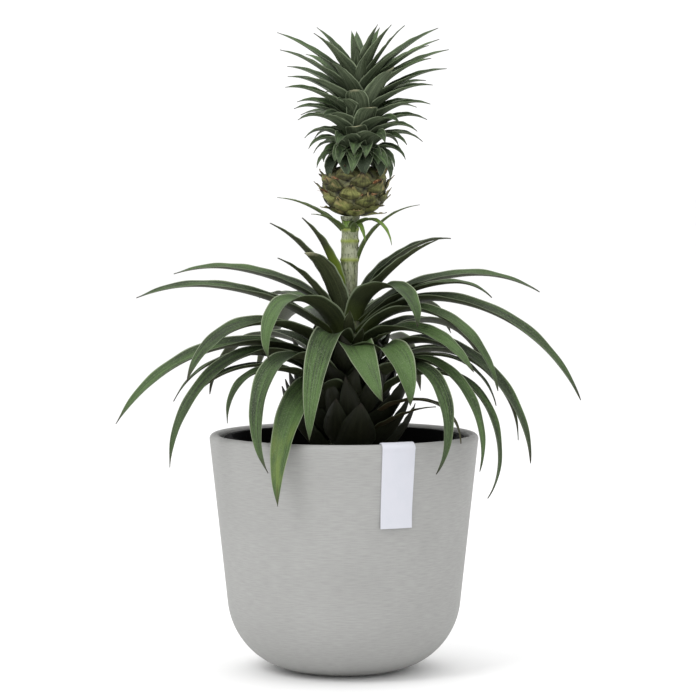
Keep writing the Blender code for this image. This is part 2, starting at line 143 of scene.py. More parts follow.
@dataclass
class Surface:
    """A closed surface in millimetres, with a UV pair and named values at each point."""

    points: Array
    quads: Array
    triangles: Array
    uv: Array
    values: dict[str, Array] = field(default_factory=dict)

    def volume(self) -> float:
        """Six times the enclosed volume, negative if the faces point inwards."""
        split = np.concatenate([self.triangles, self.quads[:, [0, 1, 2]], self.quads[:, [0, 2, 3]]])
        return float(np.linalg.det(self.points[split]).sum())

    def outward(self) -> "Surface":
        """The same surface with its faces pointing outwards."""
        if self.volume() < 0:
            self.quads = self.quads[:, ::-1]
            self.triangles = self.triangles[:, ::-1]
        return self

    def piece(
        self,
        name: str,
        finish: Material,
        slot: Slot,
        nodes: Iterable[str] = (),
        sharp: float = 60.0,
    ) -> bpy.types.Object:
        """Makes the Blender object, with its material and body.

        Args:
            name: The piece's name.
            finish: Its material.
            slot: The record's slot for its finish. It is not used.
            nodes: The CAD nodes that it stands for.
            sharp: The angle in degrees past which an edge is drawn sharp.

        Returns:
            The object, at the origin.
        """
        mesh = bpy.data.meshes.new(name)
        corners = np.concatenate([self.quads.ravel(), self.triangles.ravel()]).astype(np.int32)
        counts = np.repeat([4, 3], [len(self.quads), len(self.triangles)])
        mesh.vertices.add(len(self.points))
        mesh.loops.add(len(corners))
        mesh.polygons.add(len(counts))
        mesh.vertices.foreach_set("co", (self.points * MM).astype(np.float32).ravel())
        mesh.loops.foreach_set("vertex_index", corners)
        starts = np.concatenate([[0], np.cumsum(counts)[:-1]]).astype(np.int32)
        mesh.polygons.foreach_set("loop_start", starts)
        mesh.update(calc_edges=True)
        layer = mesh.uv_layers.new(name="surface")
        layer.uv.foreach_set("vector", self.uv[corners].astype(np.float32).ravel())
        for key, values in self.values.items():
            attribute = mesh.attributes.new(key, "FLOAT", "POINT")
            attribute.data.foreach_set("value", np.asarray(values, np.float32))
        mesh.validate()
        mesh.shade_smooth()
        mesh.set_sharp_from_angle(angle=math.radians(sharp))
        mesh.materials.append(finish)
        made = placed(name, mesh)
        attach(made, "root")
        for node in nodes:
            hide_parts(node)
        log.info("%s: %d points", name, len(self.points))
        return made


def joined(surfaces: list[Surface]) -> Surface:
    """Several surfaces as one, each still closed on its own."""
    starts = np.cumsum([0] + [len(surface.points) for surface in surfaces[:-1]])
    keys = surfaces[0].values
    return Surface(
        np.concatenate([surface.points for surface in surfaces]),
        np.concatenate([surface.quads + start for surface, start in zip(surfaces, starts)]),
        np.concatenate([surface.triangles + start for surface, start in zip(surfaces, starts)]),
        np.concatenate([surface.uv for surface in surfaces]),
        {key: np.concatenate([surface.values[key] for surface in surfaces]) for key in keys},
    )


def ringed(rings: Array, uv: Array, values: dict[str, Array] | None = None) -> Surface:
    """Closes a stack of rings: quads between the rings, and a fan on each end's mean point.

    Args:
        rings: Points, (rings, points round, 3).
        uv: The UV pair of each of them.
        values: Named values, each (rings, points round).

    Returns:
        The closed surface, facing outwards.
    """
    count, around = rings.shape[:2]
    index = np.arange(count * around).reshape(count, around)
    after = np.roll(index, -1, axis=1)
    quads = np.stack([index[:-1], after[:-1], after[1:], index[1:]], axis=-1).reshape(-1, 4)
    first, last = count * around, count * around + 1
    start = np.stack([np.full(around, first), after[0], index[0]], axis=-1)
    end = np.stack([np.full(around, last), index[-1], after[-1]], axis=-1)
    ends = [0, -1]
    points = np.concatenate([rings.reshape(-1, 3), rings[ends].mean(axis=1)])
    pairs = np.concatenate([uv.reshape(-1, 2), uv[ends].mean(axis=1)])
    named = {
        key: np.concatenate([value.ravel(), value[ends].mean(axis=1)])
        for key, value in (values or {}).items()
    }
    return Surface(points, quads, np.concatenate([start, end]), pairs, named).outward()


def compass(azimuth: float) -> tuple[Array, Array]:
    """The level directions outwards and, counterclockwise from it, sideways at an azimuth."""
    cos, sin = math.cos(azimuth), math.sin(azimuth)
    return np.array([cos, sin, 0.0]), np.array([-sin, cos, 0.0])


def arc(centre: tuple[float, float], radius: float, start: float, end: float, steps: int) -> Array:
    """Points (r, z) on a circle, from angle start to end in degrees."""
    angles = np.radians(np.linspace(start, end, steps + 1))
    return np.stack([centre[0] + radius * np.cos(angles), centre[1] + radius * np.sin(angles)], 1)


def resampled(profile: Array, spacing: float) -> Array:
    """The same outline with extra points, so that none are further apart than spacing."""
    pieces = [profile[:1]]
    for a, b in zip(profile[:-1], profile[1:]):
        steps = max(1, math.ceil(np.linalg.norm(b - a) / spacing))
        pieces.append(a + (b - a) * (np.arange(1, steps + 1) / steps)[:, None])
    return np.concatenate(pieces)


def turned(
    profile: Array,
    segments: int,
    axis: Callable[[Array], Array] | None = None,
    bulge: Callable[[Array, Array], Array] | None = None,
    values: dict[str, Callable[[Array], Array]] | None = None,
) -> Surface:
    """Turns an outline round +Z: x = axis(z) + r cos a, y = r sin a.

    Args:
        profile: The outline's (r, z) points, off the axis, in order.
        segments: Points round.
        axis: The axis's x at a height, for a stalk that leans.
        bulge: Extra radius at (azimuth, height).
        values: Named values as functions of height.

    Returns:
        The closed surface. UV is (azimuth in turns, outline length in metres).
    """
    azimuth = np.arange(segments) * 2 * math.pi / segments
    radius = np.repeat(profile[:, :1], segments, axis=1)
    height = np.repeat(profile[:, 1:], segments, axis=1)
    angles = np.repeat(azimuth[None], len(profile), axis=0)
    if bulge:
        radius = radius + bulge(angles, height)
    shift = axis(height) if axis else 0.0
    rings = np.stack([shift + radius * np.cos(angles), radius * np.sin(angles), height], axis=-1)
    run = np.concatenate([[0], np.cumsum(np.linalg.norm(np.diff(profile, axis=0), axis=1))])
    uv = np.stack([angles / (2 * math.pi), np.repeat(run[:, None] * MM, segments, axis=1)], axis=-1)
    named = {key: value(height) for key, value in (values or {}).items()}
    return ringed(rings, uv, named)


def strip_frame(centre: Array, sideways: Array, upper: Array | None = None) -> tuple[Array, Array]:
    """The directions out of a strip's upper side and across it.

    Args:
        centre: The strip's path, (stations, 3).
        sideways: Roughly the direction across.
        upper: Where the upper side faces, if that matters.

    Returns:
        The two directions at each station.
    """
    along = unit(np.gradient(centre, axis=0))
    normal = unit(np.cross(along, sideways))
    if upper is not None and (normal @ upper).sum() < 0:
        normal = -normal
    return normal, np.cross(along, normal)


def strip(
    centre: Array,
    normal: Array,
    across: Array,
    half: Array,
    lift: Array,
    thickness: float,
    columns: int = 11,
    curl: float = 1.8,
    ruffle: float = 0.0,
    values: dict[str, float] | None = None,
) -> Surface:
    """A thin closed strip along a path, such as a leaf: a lens-shaped section that bends up.

    A point at x across, from -1 to 1, and s along lies at the centre, plus x times half the
    width, plus lift times |x| to the power curl along the normal, plus or minus half the
    thickness, which falls to nothing at the margins.

    Args:
        centre: The path, (stations, 3).
        normal: The upper side's direction at each station.
        across: The direction across at each station.
        half: Half the width at each station.
        lift: How far the margins rise at each station.
        thickness: The thickness in the middle.
        columns: Points across the upper side.
        curl: The power of the section's bend: 1 is a V, 2 is a U.
        ruffle: How far the margins wave up and down.
        values: Named values that hold for the whole strip, such as its tone.

    Returns:
        The strip, with UV (across 0 to 1, along 0 to 1) and a value "underside", 0 or 1.
    """
    stations = len(centre)
    share = np.linspace(0, 1, stations)[:, None]
    top = np.linspace(-1, 1, columns)
    x = np.concatenate([top, top[-2:0:-1]])
    side = np.concatenate([np.full(columns, 1.0), np.full(columns - 2, -1.0)])
    side[[0, columns - 1]] = 0.0
    body = 1 - TIP_THINNING * share
    lens = side * thickness / 2 * (1 - x**2) ** LENS_ROUNDNESS
    wave = np.sin(share * LONG_WAVE + np.sign(x) * 1.3) + np.sin(share * SHORT_WAVE + x * 2.0)
    height = lift[:, None] * np.abs(x) ** curl + lens * body
    height = height + ruffle * wave * np.abs(x) ** 3
    rings = (
        centre[:, None]
        + across[:, None] * (half[:, None] * x)[..., None]
        + normal[:, None] * height[..., None]
    )
    u = np.repeat((x[None] + 1) / 2, stations, axis=0)
    v = np.repeat(share, len(x), axis=1)
    named = {"underside": np.repeat(((1 - side) / 2)[None], stations, axis=0)}
    for key, value in (values or {}).items():
        named[key] = np.full(u.shape, value)
    return ringed(rings, np.stack([u, v], axis=-1), named)


# --------------------------------------------------------------------------- leaves


@dataclass(frozen=True)
class Blade:
    """One leaf or bract: where it leaves its stalk, the bend in its middle, and its tip.

    crest and tip are (reach from the stalk's axis, height). sway is how far the tip swings
    sideways, and roll turns the leaf about its own length, in degrees at the tip. channel is
    how deep its gutter is for its width. fresh, dry, bleach (how far up its pale foot reaches)
    and patch (how yellow it is before its tip) are 0 to 1, and blunt cuts the tip.
    """

    bearing: float
    root: float
    crest: tuple[float, float]
    tip: tuple[float, float]
    width: float
    sway: float = 0.0
    roll: float = 0.0
    channel: float = 0.2
    fresh: float = 0.3
    dry: float = 0.0
    blunt: bool = False
    bleach: float = 0.12
    patch: float = 0.0


@dataclass(frozen=True)
class Habit:
    """How one kind of leaf is shaped along its length.

    The half width is the blade's half width times (1 - s^taper)^sharpness, and it starts at
    foot times that where the leaf clasps its stalk.
    """

    foot: float
    taper: float
    sharpness: float
    thickness: float
    stations: int
    columns: int
    ruffle: float


def blade_path(
    root: tuple[float, float], crest: tuple[float, float], tip: tuple[float, float], stations: int
) -> Array:
    """Two curves that meet smoothly at the crest, each close to a circle's arc.

    The direction at the crest is the mean of the two chords' directions, and the direction
    at each far end is that one mirrored in its own chord. A leaf never leans back into its
    stalk.
    """
    start_point, middle_point, end_point = (np.array(p, float) for p in (root, crest, tip))
    rise, fall = unit(middle_point - start_point), unit(end_point - middle_point)
    middle = unit(rise + fall)
    start = unit(np.maximum(2 * rise.dot(middle) * rise - middle, (0.1, -1.0)))
    end = 2 * fall.dot(middle) * fall - middle
    fine = np.linspace(0, 1, 40)[:, None]
    runs = []
    for a, leave, b, arrive in (
        (start_point, start, middle_point, middle),
        (middle_point, middle, end_point, end),
    ):
        reach = 0.36 * np.linalg.norm(b - a)
        first, second = a + leave * reach, b - arrive * reach
        runs.append(
            (1 - fine) ** 3 * a
            + 3 * (1 - fine) ** 2 * fine * first
            + 3 * (1 - fine) * fine**2 * second
            + fine**3 * b
        )
    path = np.concatenate([runs[0], runs[1][1:]])
    run = np.concatenate([[0], np.cumsum(np.linalg.norm(np.diff(path, axis=0), axis=1))])
    share = np.linspace(0, 1, stations)
    return np.stack([np.interp(share, run / run[-1], path[:, axis]) for axis in (0, 1)], 1)


def blade_surface(
    blade: Blade,
    stalk_x: Callable[[float], float],
    stalk_radius: Callable[[float], float],
    habit: Habit,
    tone: float,
) -> Surface:
    """One leaf: its path in its upright plane, swung sideways, with a channelled section.

    Args:
        blade: The leaf's sizes.
        stalk_x: The stalk axis's x at a height.
        stalk_radius: The stalk's radius at a height.
        habit: The shape of this kind of leaf.
        tone: This leaf's own shade, 0 to 1, which also seeds its small waves.

    Returns:
        The leaf as a closed strip.
    """
    azimuth = math.radians(blade.bearing)
    outward, sideways = compass(azimuth)
    start = (stalk_radius(blade.root) + habit.thickness / 2, blade.root)
    path = blade_path(start, blade.crest, blade.tip, habit.stations)
    share = np.linspace(0, 1, habit.stations)
    centre = path[:, :1] * outward + path[:, 1:] * UP
    swing = blade.sway * share**2 + 0.5 * share * np.sin(share * 5 + tone * 40)
    centre += swing[:, None] * sideways + np.array([stalk_x(blade.root), 0.0, 0.0])
    normal, across = strip_frame(centre, sideways, UP)
    turn = np.radians(blade.roll) * share[:, None] ** 1.3
    across, normal = (
        across * np.cos(turn) + normal * np.sin(turn),
        normal * np.cos(turn) - across * np.sin(turn),
    )
    clasp = habit.foot + (1 - habit.foot) * smooth_step(share, 0.0, 0.3)
    taper = (1 - share**9) ** 0.6 if blade.blunt else (1 - share**habit.taper) ** habit.sharpness
    half = blade.width / 2 * clasp * taper
    lift = 2 * half * blade.channel * (1.35 - 0.6 * share)
    values = {key: getattr(blade, key) for key in ("fresh", "dry", "bleach", "patch")}
    values |= {"tone": tone, "cut": float(blade.blunt)}
    section = (habit.thickness, habit.columns)
    return strip(centre, normal, across, half, lift, *section, ruffle=habit.ruffle, values=values)


# --------------------------------------------------------------------------- finishes


def linear(code: str) -> tuple[float, float, float, float]:
    """A colour from its sRGB hex code, as linear light."""
    parts = [int(code[i : i + 2], 16) / 255 for i in (1, 3, 5)]
    return (*(c / 12.92 if c <= 0.04045 else ((c + 0.055) / 1.055) ** 2.4 for c in parts), 1.0)


class Coat:
    """A Principled material while it is put together: its nodes, and its colour so far."""

    def __init__(self, material: Material) -> None:
        """Starts from the plain shader."""
        material.use_nodes = True
        self.tree = material.node_tree
        self.shader = self.tree.nodes["Principled BSDF"]
        self.colour: Socket | str = "#FFFFFF"

    def feed(self, socket: Socket, value: object) -> None:
        """Gives an input socket another node's output, a colour's hex code, or a value."""
        if isinstance(value, bpy.types.NodeSocket):
            self.tree.links.new(value, socket)
        else:
            socket.default_value = linear(value) if isinstance(value, str) else value

    def node(self, kind: str, inputs: dict | None = None, **settings: str) -> bpy.types.Node:
        """Adds a node.

        Args:
            kind: Blender's name for it, without "ShaderNode".
            inputs: What each input socket gets.
            settings: The node's own properties.

        Returns:
            The node.
        """
        made = self.tree.nodes.new("ShaderNode" + kind)
        for name, value in settings.items():
            setattr(made, name, value)
        for name, value in (inputs or {}).items():
            self.feed(made.inputs[name], value)
        return made

    def value(self, name: str) -> Socket:
        """The value that a piece's mesh holds under a name."""
        return self.node("Attribute", attribute_name=name).outputs["Fac"]

    def uv(self) -> tuple[Socket, Socket]:
        """The piece's UV pair."""
        place = self.node("SeparateXYZ", {0: self.node("UVMap").outputs[0]})
        return place.outputs[0], place.outputs[1]

    def edge(self, u: Socket) -> Socket:
        """How far a place on a strip is from its middle line, 0 to 0.5."""
        return self.maths("ABSOLUTE", self.maths("SUBTRACT", u, 0.5), 0.0)

    def noise(self, scale: float, detail: float, stretch: Triple | None = None) -> Socket:
        """Noise, 0 to 1, on Object coordinates, with this many waves to a metre."""
        place = self.node("TexCoord").outputs["Object"]
        if stretch:
            place = self.node("Mapping", {"Vector": place, "Scale": stretch}).outputs[0]
        return self.node("TexNoise", {"Vector": place, "Scale": scale, "Detail": detail}).outputs[0]

    def stretched(self, x: object, y: object, z: object, scale: Triple, detail: float) -> Socket:
        """Noise, 0 to 1, on coordinates that are each scaled by their own number."""
        place = self.node("CombineXYZ", {"X": x, "Y": y, "Z": z}).outputs[0]
        sized = self.node("VectorMath", {0: place, 1: scale}, operation="MULTIPLY").outputs[0]
        return self.node("TexNoise", {"Vector": sized, "Scale": 1.0, "Detail": detail}).outputs[0]

    def ranged(self, value: Socket, span: Span) -> Socket:
        """The value moved from low..high to start..end, held at the ends."""
        return self.node("MapRange", dict(enumerate((value, *span)))).outputs[0]

    def maths(self, operation: str, *values: object) -> Socket:
        """Values put through an arithmetic operation one after another."""
        total = values[0]
        for value in values[1:]:
            total = self.node("Math", {0: total, 1: value}, operation=operation).outputs[0]
        return total

    def blend(self, amount: Socket, first: Socket | str, second: Socket | str) -> Socket:
        """A colour between two colours, each a hex code or an output."""
        return self.node("Mix", {0: amount, 6: first, 7: second}, data_type="RGBA").outputs[2]

    def lay(self, amount: Socket, colour: Socket | str) -> None:
        """Lays a colour over the one so far."""
        self.colour = self.blend(amount, self.colour, colour)

    def over(self, mask: Socket, span: Span, colour: Socket | str) -> None:
        """Lays a colour over the one so far, by a mask and what its low..high stands for."""
        self.lay(self.ranged(mask, span), colour)

    def finish(
        self,
        roughness: Socket | float,
        relief: Socket | None = None,
        strength: float = 0.0,
        depth: float = 0.0,
        shine: float | None = None,
    ) -> None:
        """Gives the shader its colour, roughness, shine and bump, whose depth is in metres."""
        self.feed(self.shader.inputs["Base Color"], self.colour)
        self.feed(self.shader.inputs["Roughness"], roughness)
        if shine is not None:
            self.feed(self.shader.inputs["Specular IOR Level"], shine)
        if relief is not None:
            bump = self.node("Bump", {"Strength": strength, "Distance": depth, "Height": relief})
            self.feed(self.shader.inputs["Normal"], bump.outputs[0])


class Finish:
    """A surface finish, whose nodes a subclass adds."""

    name: str

    def make(self) -> Material:
        """The material."""
        material = bpy.data.materials.new(self.name)
        self.dress(Coat(material))
        return material

    def dress(self, coat: Coat) -> None:
        """Adds this finish's nodes and values."""
        raise NotImplementedError


@dataclass(frozen=True)
class WaxyLeaf(Finish):
    """A living bromeliad leaf: a waxy, ribbed, dusty upper side and a duller, scurfy underside.

    The fine pale ribs run the whole length, the margins are a thin silvery line, the foot is
    yellow-green where it was shaded, the blade is painted darker low down as shade, and the
    tip dries to brown, or to tan where it was cut.
    """

    name: str
    upper_dark: str
    upper_light: str
    under_dark: str
    under_light: str
    margin: str = "#95A184"
    foot: str = "#6C7F2C"
    tip: str = "#2F2722"
    cut_tip: str = "#9C9A7C"
    yellowed: str = "#74813B"
    dried: str = "#4A3826"
    ribs: float = 24.0
    roughness: float = 0.58
    sheen: float = 0.28

    def dress(self, coat: Coat) -> None:
        """Ribs, mottling and scurf are noise stretched along the leaf's UV."""
        u, v = coat.uv()
        tone, bleach = coat.value("tone"), coat.value("bleach")
        rib = coat.stretched(u, v, tone, (self.ribs, 2.0, 61.0), 2.0)
        mottle = coat.stretched(u, v, tone, (2.5, 6.0, 37.0), 3.0)
        scurf = coat.stretched(u, v, tone, (60.0, 130.0, 37.0), 1.0)
        shade = coat.maths(
            "ADD",
            coat.ranged(mottle, (0.3, 0.7, -0.28, 0.28)),
            coat.value("fresh"),
            coat.ranged(tone, (0, 1, -0.18, 0.18)),
            coat.ranged(rib, (0.38, 0.62, -0.32, 0.32)),
            # Painted shade: the blade gets darker towards its foot.
            coat.ranged(v, (0.1, 0.7, -0.3, 0.14)),
        )
        upper = coat.blend(coat.ranged(shade, (0, 1, 0, 1)), self.upper_dark, self.upper_light)
        upper = coat.blend(coat.ranged(scurf, (0.52, 0.74, 0, 0.3)), upper, self.margin)
        dust = (coat.ranged(scurf, (0.45, 0.75, 0, 0.6)), coat.ranged(rib, (0.35, 0.65, 0, 0.5)))
        under = coat.blend(coat.maths("ADD", *dust), self.under_dark, self.under_light)
        coat.colour = coat.blend(coat.value("underside"), upper, under)
        # Painted shade: both sides darken towards the foot, deep in the rosette.
        coat.over(v, (0.1, 0.6, 0.5, 0), self.upper_dark)
        above = coat.maths("SUBTRACT", v, coat.maths("MULTIPLY", bleach, 0.5))
        pale = (coat.ranged(above, (-0.06, 0.14, 0.95, 0)), coat.ranged(bleach, (0, 0.4, 0, 1)))
        coat.lay(coat.maths("MULTIPLY", *pale), self.foot)
        patches = (coat.ranged(mottle, (0.4, 0.6, 0, 1)), coat.ranged(v, (0.6, 0.72, 0, 1)))
        coat.lay(coat.maths("MULTIPLY", *patches, coat.value("patch")), self.yellowed)
        coat.over(coat.edge(u), (0.452, 0.482, 0, 0.72), self.margin)
        end = coat.maths("ADD", v, coat.ranged(mottle, (0.3, 0.7, -0.04, 0.04)))
        coat.over(end, (0.92, 1.0, 0, 0.9), coat.blend(coat.value("cut"), self.tip, self.cut_tip))
        dryness = coat.ranged(mottle, (0.35, 0.6, 0.6, 1))
        coat.lay(coat.maths("MULTIPLY", coat.value("dry"), dryness), self.dried)
        rough = coat.ranged(rib, (0.3, 0.7, self.roughness - 0.08, self.roughness + 0.1))
        relief = coat.maths("ADD", rib, coat.ranged(scurf, (0, 1, 0, 0.25)))
        coat.finish(rough, relief, 0.35, 0.0004, self.sheen)


@dataclass(frozen=True)
class RecycledPlastic(Finish):
    """Moulded recycled plastic with stone dust: matt, light grey, with fine pale fibres."""

    name: str = "recycled_plastic_stone_grey"
    body: str = "#969694"
    pale: str = "#A1A19F"
    fleck: str = "#90908E"

    def dress(self, coat: Coat) -> None:
        """Fibres lie round the pot and, more faintly, up it; the UV is turns and metres."""
        u, v = coat.uv()
        lying = coat.stretched(u, v, 0.0, (60.0, 1900.0, 1.0), 4.0)
        rising = coat.stretched(u, v, 3.0, (420.0, 70.0, 1.0), 2.0)
        coat.colour = self.body
        coat.over(lying, (0.35, 0.65, 0, 1), self.pale)
        coat.over(rising, (0.55, 0.8, 0, 0.35), self.pale)
        coat.over(coat.noise(28.0, 3.0), (0.4, 0.75, 0, 0.35), self.fleck)
        relief = coat.maths("ADD", lying, coat.ranged(coat.noise(1800.0, 1.0), (0, 1, 0, 0.8)))
        coat.finish(0.72, relief, 0.12, 0.0002)


@dataclass(frozen=True)
class DriedScale(Finish):
    """A fruit's floral bract: green-tan parchment with fine veins, and a dry spine."""

    name: str = "dried_floral_bract"
    green: str = "#343B1A"
    tan: str = "#949659"
    # edge is the dark brown of the dry margins and dark patches, and also serves as painted shade at
    # each bract's foot and painted shadow on the fruit's top.
    edge: str = "#1C150A"
    spine: str = "#1E170F"
    pale_spine: str = "#A59565"
    # Heights in metres over which painted shadow from the crown darkens the fruit's top.
    painted_shadow_heights: tuple[float, float] = (0.264, 0.281)

    def dress(self, coat: Coat) -> None:
        """Veins run along the UV, spines are brown or straw, and painted shadow darkens the top."""
        u, v = coat.uv()
        tone = coat.value("tone")
        vein = coat.stretched(u, v, tone, (14.0, 2.0, 53.0), 2.0)
        patch = coat.stretched(u, v, tone, (2.0, 3.0, 29.0), 2.0)
        shades = (coat.ranged(vein, (0.35, 0.65, -0.2, 0.2)), coat.ranged(tone, (0, 1, 0.1, 0.95)))
        coat.colour = self.green
        coat.over(coat.maths("ADD", *shades), (0, 1, 0, 1), self.tan)
        coat.over(patch, (0.5, 0.68, 0, 0.75), self.edge)
        coat.over(patch, (0.32, 0.44, 0.75, 0), self.pale_spine)
        coat.over(coat.edge(u), (0.4, 0.49, 0, 0.6), self.edge)
        # Painted shade: each bract darkens at its foot, in the gaps between bracts.
        coat.over(v, (0.05, 0.32, 0.8, 0), self.edge)
        spine = coat.blend(coat.ranged(patch, (0.45, 0.55, 0, 1)), self.spine, self.pale_spine)
        coat.over(v, (0.62, 0.84, 0, 1), spine)
        height = coat.node("SeparateXYZ", {0: coat.node("TexCoord").outputs["Object"]}).outputs[2]
        # Painted shadow: the fruit's top, under the crown, darkened to the edge colour.
        coat.over(height, (*self.painted_shadow_heights, 0, 0.75), self.edge)
        coat.finish(0.66, vein, 0.5, 0.0003, 0.25)


@dataclass(frozen=True)
class WitheredPetal(Finish):
    """Withered sepals left in the eyes: papery, from rust orange to brown."""

    name: str = "withered_sepal"
    rust: str = "#7C4020"
    brown: str = "#3B2013"
    straw: str = "#A8885C"

    def dress(self, coat: Coat) -> None:
        """The colour changes from flake to flake and along each."""
        u, v = coat.uv()
        tone = coat.value("tone")
        coat.colour = coat.blend(tone, self.rust, self.brown)
        vein = coat.stretched(u, v, tone, (5.0, 2.0, 53.0), 2.0)
        coat.over(vein, (0.42, 0.66, 0, 0.8), self.straw)
        coat.finish(0.7)


@dataclass(frozen=True)
class Speckled(Finish):
    """A base colour under layers of noise.

    noises are (waves to a metre, detail). A layer is (its mask: a noise, or a value of the
    mesh; the span for Coat.over; the colour). relief is (its mask, strength, depth). A
    roughness may follow a mask too.
    """

    name: str
    base: str
    noises: dict[str, tuple[float, float]] = field(default_factory=dict)
    layers: tuple[tuple[str, Span, str], ...] = ()
    roughness: float | tuple[str, Span] = 0.9
    relief: tuple[str, float, float] | None = None
    shine: float | None = None
    stretch: Triple | None = None

    def dress(self, coat: Coat) -> None:
        """Lays each layer over the base colour."""
        masks = {mask: coat.noise(*noise, self.stretch) for mask, noise in self.noises.items()}
        coat.colour = self.base
        for mask, span, colour in self.layers:
            coat.over(masks[mask] if mask in masks else coat.value(mask), span, colour)
        rough = self.roughness
        if isinstance(rough, tuple):
            rough = coat.ranged(masks[rough[0]], rough[1])
        relief = (masks[self.relief[0]], *self.relief[1:]) if self.relief else ()
        coat.finish(rough, *relief, shine=self.shine)


ROSETTE_LEAF = WaxyLeaf("waxy_rosette_leaf", "#1A2411", "#4C6636", "#262B19", "#4B5134")
# Painted shade: a darker copy of the rosette leaf for the crowded inner leaves and the crown's core.
PAINTED_SHADE_LEAF = WaxyLeaf(
    "painted_shade_inner_leaf", "#141B0E", "#28351C", "#191B10", "#2E3120", margin="#2A3120", foot="#3A4420"
)
CROWN_LEAF = WaxyLeaf(
    "waxy_crown_leaf", "#232F1D", "#587043", "#303A27", "#6B765C", ribs=16.0, foot="#4A6A2C"
)
FRESH_BRACT = WaxyLeaf(
    "fresh_bract", "#374720", "#648030", "#394526", "#66733F", ribs=8.0, foot="#6C8432"
)
STUDIO_PAPER = Speckled("studio_paper", "#F8F8F8")
# Thin formed polypropylene, black and matt, with dusty patches.
NURSERY_PLASTIC = Speckled(
    "nursery_polypropylene_black",
    "#050505",
    {"dust": (90.0, 4.0)},
    (("dust", (0.45, 0.75, 0, 0.5), "#100F0D"),),
    ("dust", (0.3, 0.7, 0.85, 0.95)),
    shine=0.05,
)
# Damp peat and bark crumbs: 6 mm patches of damp and 1 mm crumbs, near black, brown where dry.
PEAT_SOIL = Speckled(
    "potting_soil_peat",
    "#1B130C",
    {"damp": (160.0, 2.0), "crumb": (1000.0, 3.0)},
    (("damp", (0.35, 0.7, 0, 1), "#35271A"), ("crumb", (0.55, 0.8, 0, 0.7), "#5A4430")),
    0.95,
    ("crumb", 0.8, 0.001),
)
# Coated white card, a little blue, with slightly greyer patches and a 0.5 mm tooth.
SMOOTH_CARD = Speckled(
    "coated_white_card",
    "#C9CAD2",
    {"patch": (120.0, 2.0), "tooth": (2000.0, 2.0)},
    (("patch", (0.35, 0.7, 0, 1), "#C6C8D0"),),
    0.55,
    ("tooth", 0.12, 0.0002),
)
# A green stalk under silvery scurf: grey flakes 0.5 to 2 mm long, and yellow-green joints.
SCURFY_STALK = Speckled(
    "scurfy_green_stalk",
    "#66703F",
    {"flakes": (1100.0, 3.0), "patches": (330.0, 2.0)},
    (
        ("patches", (0.35, 0.62, 0.25, 1), "#A2A68C"),
        ("flakes", (0.52, 0.68, 0, 0.85), "#343A28"),
        ("joint", (0, 1, 0, 0.85), "#87953A"),
    ),
    0.62,
    ("flakes", 0.5, 0.0005),
    stretch=(1.0, 1.0, 0.45),
)
# An unripe rind: olive-green domes with tan bloom, and near-black painted shade in the seams, where
# "dome" is 0.
PINEAPPLE_RIND = Speckled(
    "pineapple_rind",
    "#3E421F",
    {"bloom": (320.0, 3.0), "speck": (1500.0, 2.0)},
    (
        ("bloom", (0.35, 0.65, 0, 1), "#6A6A42"),
        ("speck", (0.5, 0.75, 0, 0.5), "#2E2A15"),
        # Painted shade: the seams between the eyes go near black.
        ("dome", (0.05, 0.5, 0.95, 0), "#0F0C06"),
    ),
    0.6,
    ("speck", 0.5, 0.0005),
)


# --------------------------------------------------------------------------- the pots


@dataclass
class CoverPot:
    """The moulded cover pot: a tapered wall, a big round corner, a flat foot, a soft rim."""

    draft: float = math.radians(6.0)
    corner: float = 42.0
    wall: float = 5.4
    segments: int = 192
    spacing: float = 1.6
    out_of_true: float = 0.06

    def __post_init__(self) -> None:
        """Reads the pot's height and top radius from the frame."""
        low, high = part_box("cover_pot")
        self.height = high[2] / MM
        self.top_radius = (high[0] - low[0]) / 2 / MM

    def wall_radius(self, height: float) -> float:
        """The outer radius on the straight side."""
        return self.top_radius - (self.height - height) * math.tan(self.draft)

    def corner_centre(self) -> tuple[float, float]:
        """The centre of the round corner's arc, which meets the wall and the foot smoothly."""
        reach = self.wall_radius(self.corner) - self.corner / math.cos(self.draft)
        return (reach, self.corner)

    def outline(self) -> Array:
        """The outline from the foot's middle, up the outside and down the inside."""
        centre = self.corner_centre()
        slope = -math.degrees(self.draft)
        lip = self.wall / 2
        outer = arc(centre, self.corner, -90, slope, 30)
        rim = arc((self.top_radius - lip, self.height - lip), lip, slope, 180 + slope, 16)
        inner = arc(centre, self.corner - self.wall, slope, -90, 30)
        first, last = np.array([[0.5, 0.0]]), np.array([[0.5, self.wall]])
        return resampled(np.concatenate([first, outer, rim, inner, last]), self.spacing)

    def build(self, finish: Material) -> None:
        """Turns the outline round, a hair out of true as a moulded pot is."""

        def wander(azimuth: Array, height: Array) -> Array:
            return -self.out_of_true - self.out_of_true * np.sin(2 * azimuth + height / 60)

        surface = turned(self.outline(), self.segments, bulge=wander)
        surface.piece("moulded_cover_pot", finish, Slot.COVER_POT, ["cover_pot"])


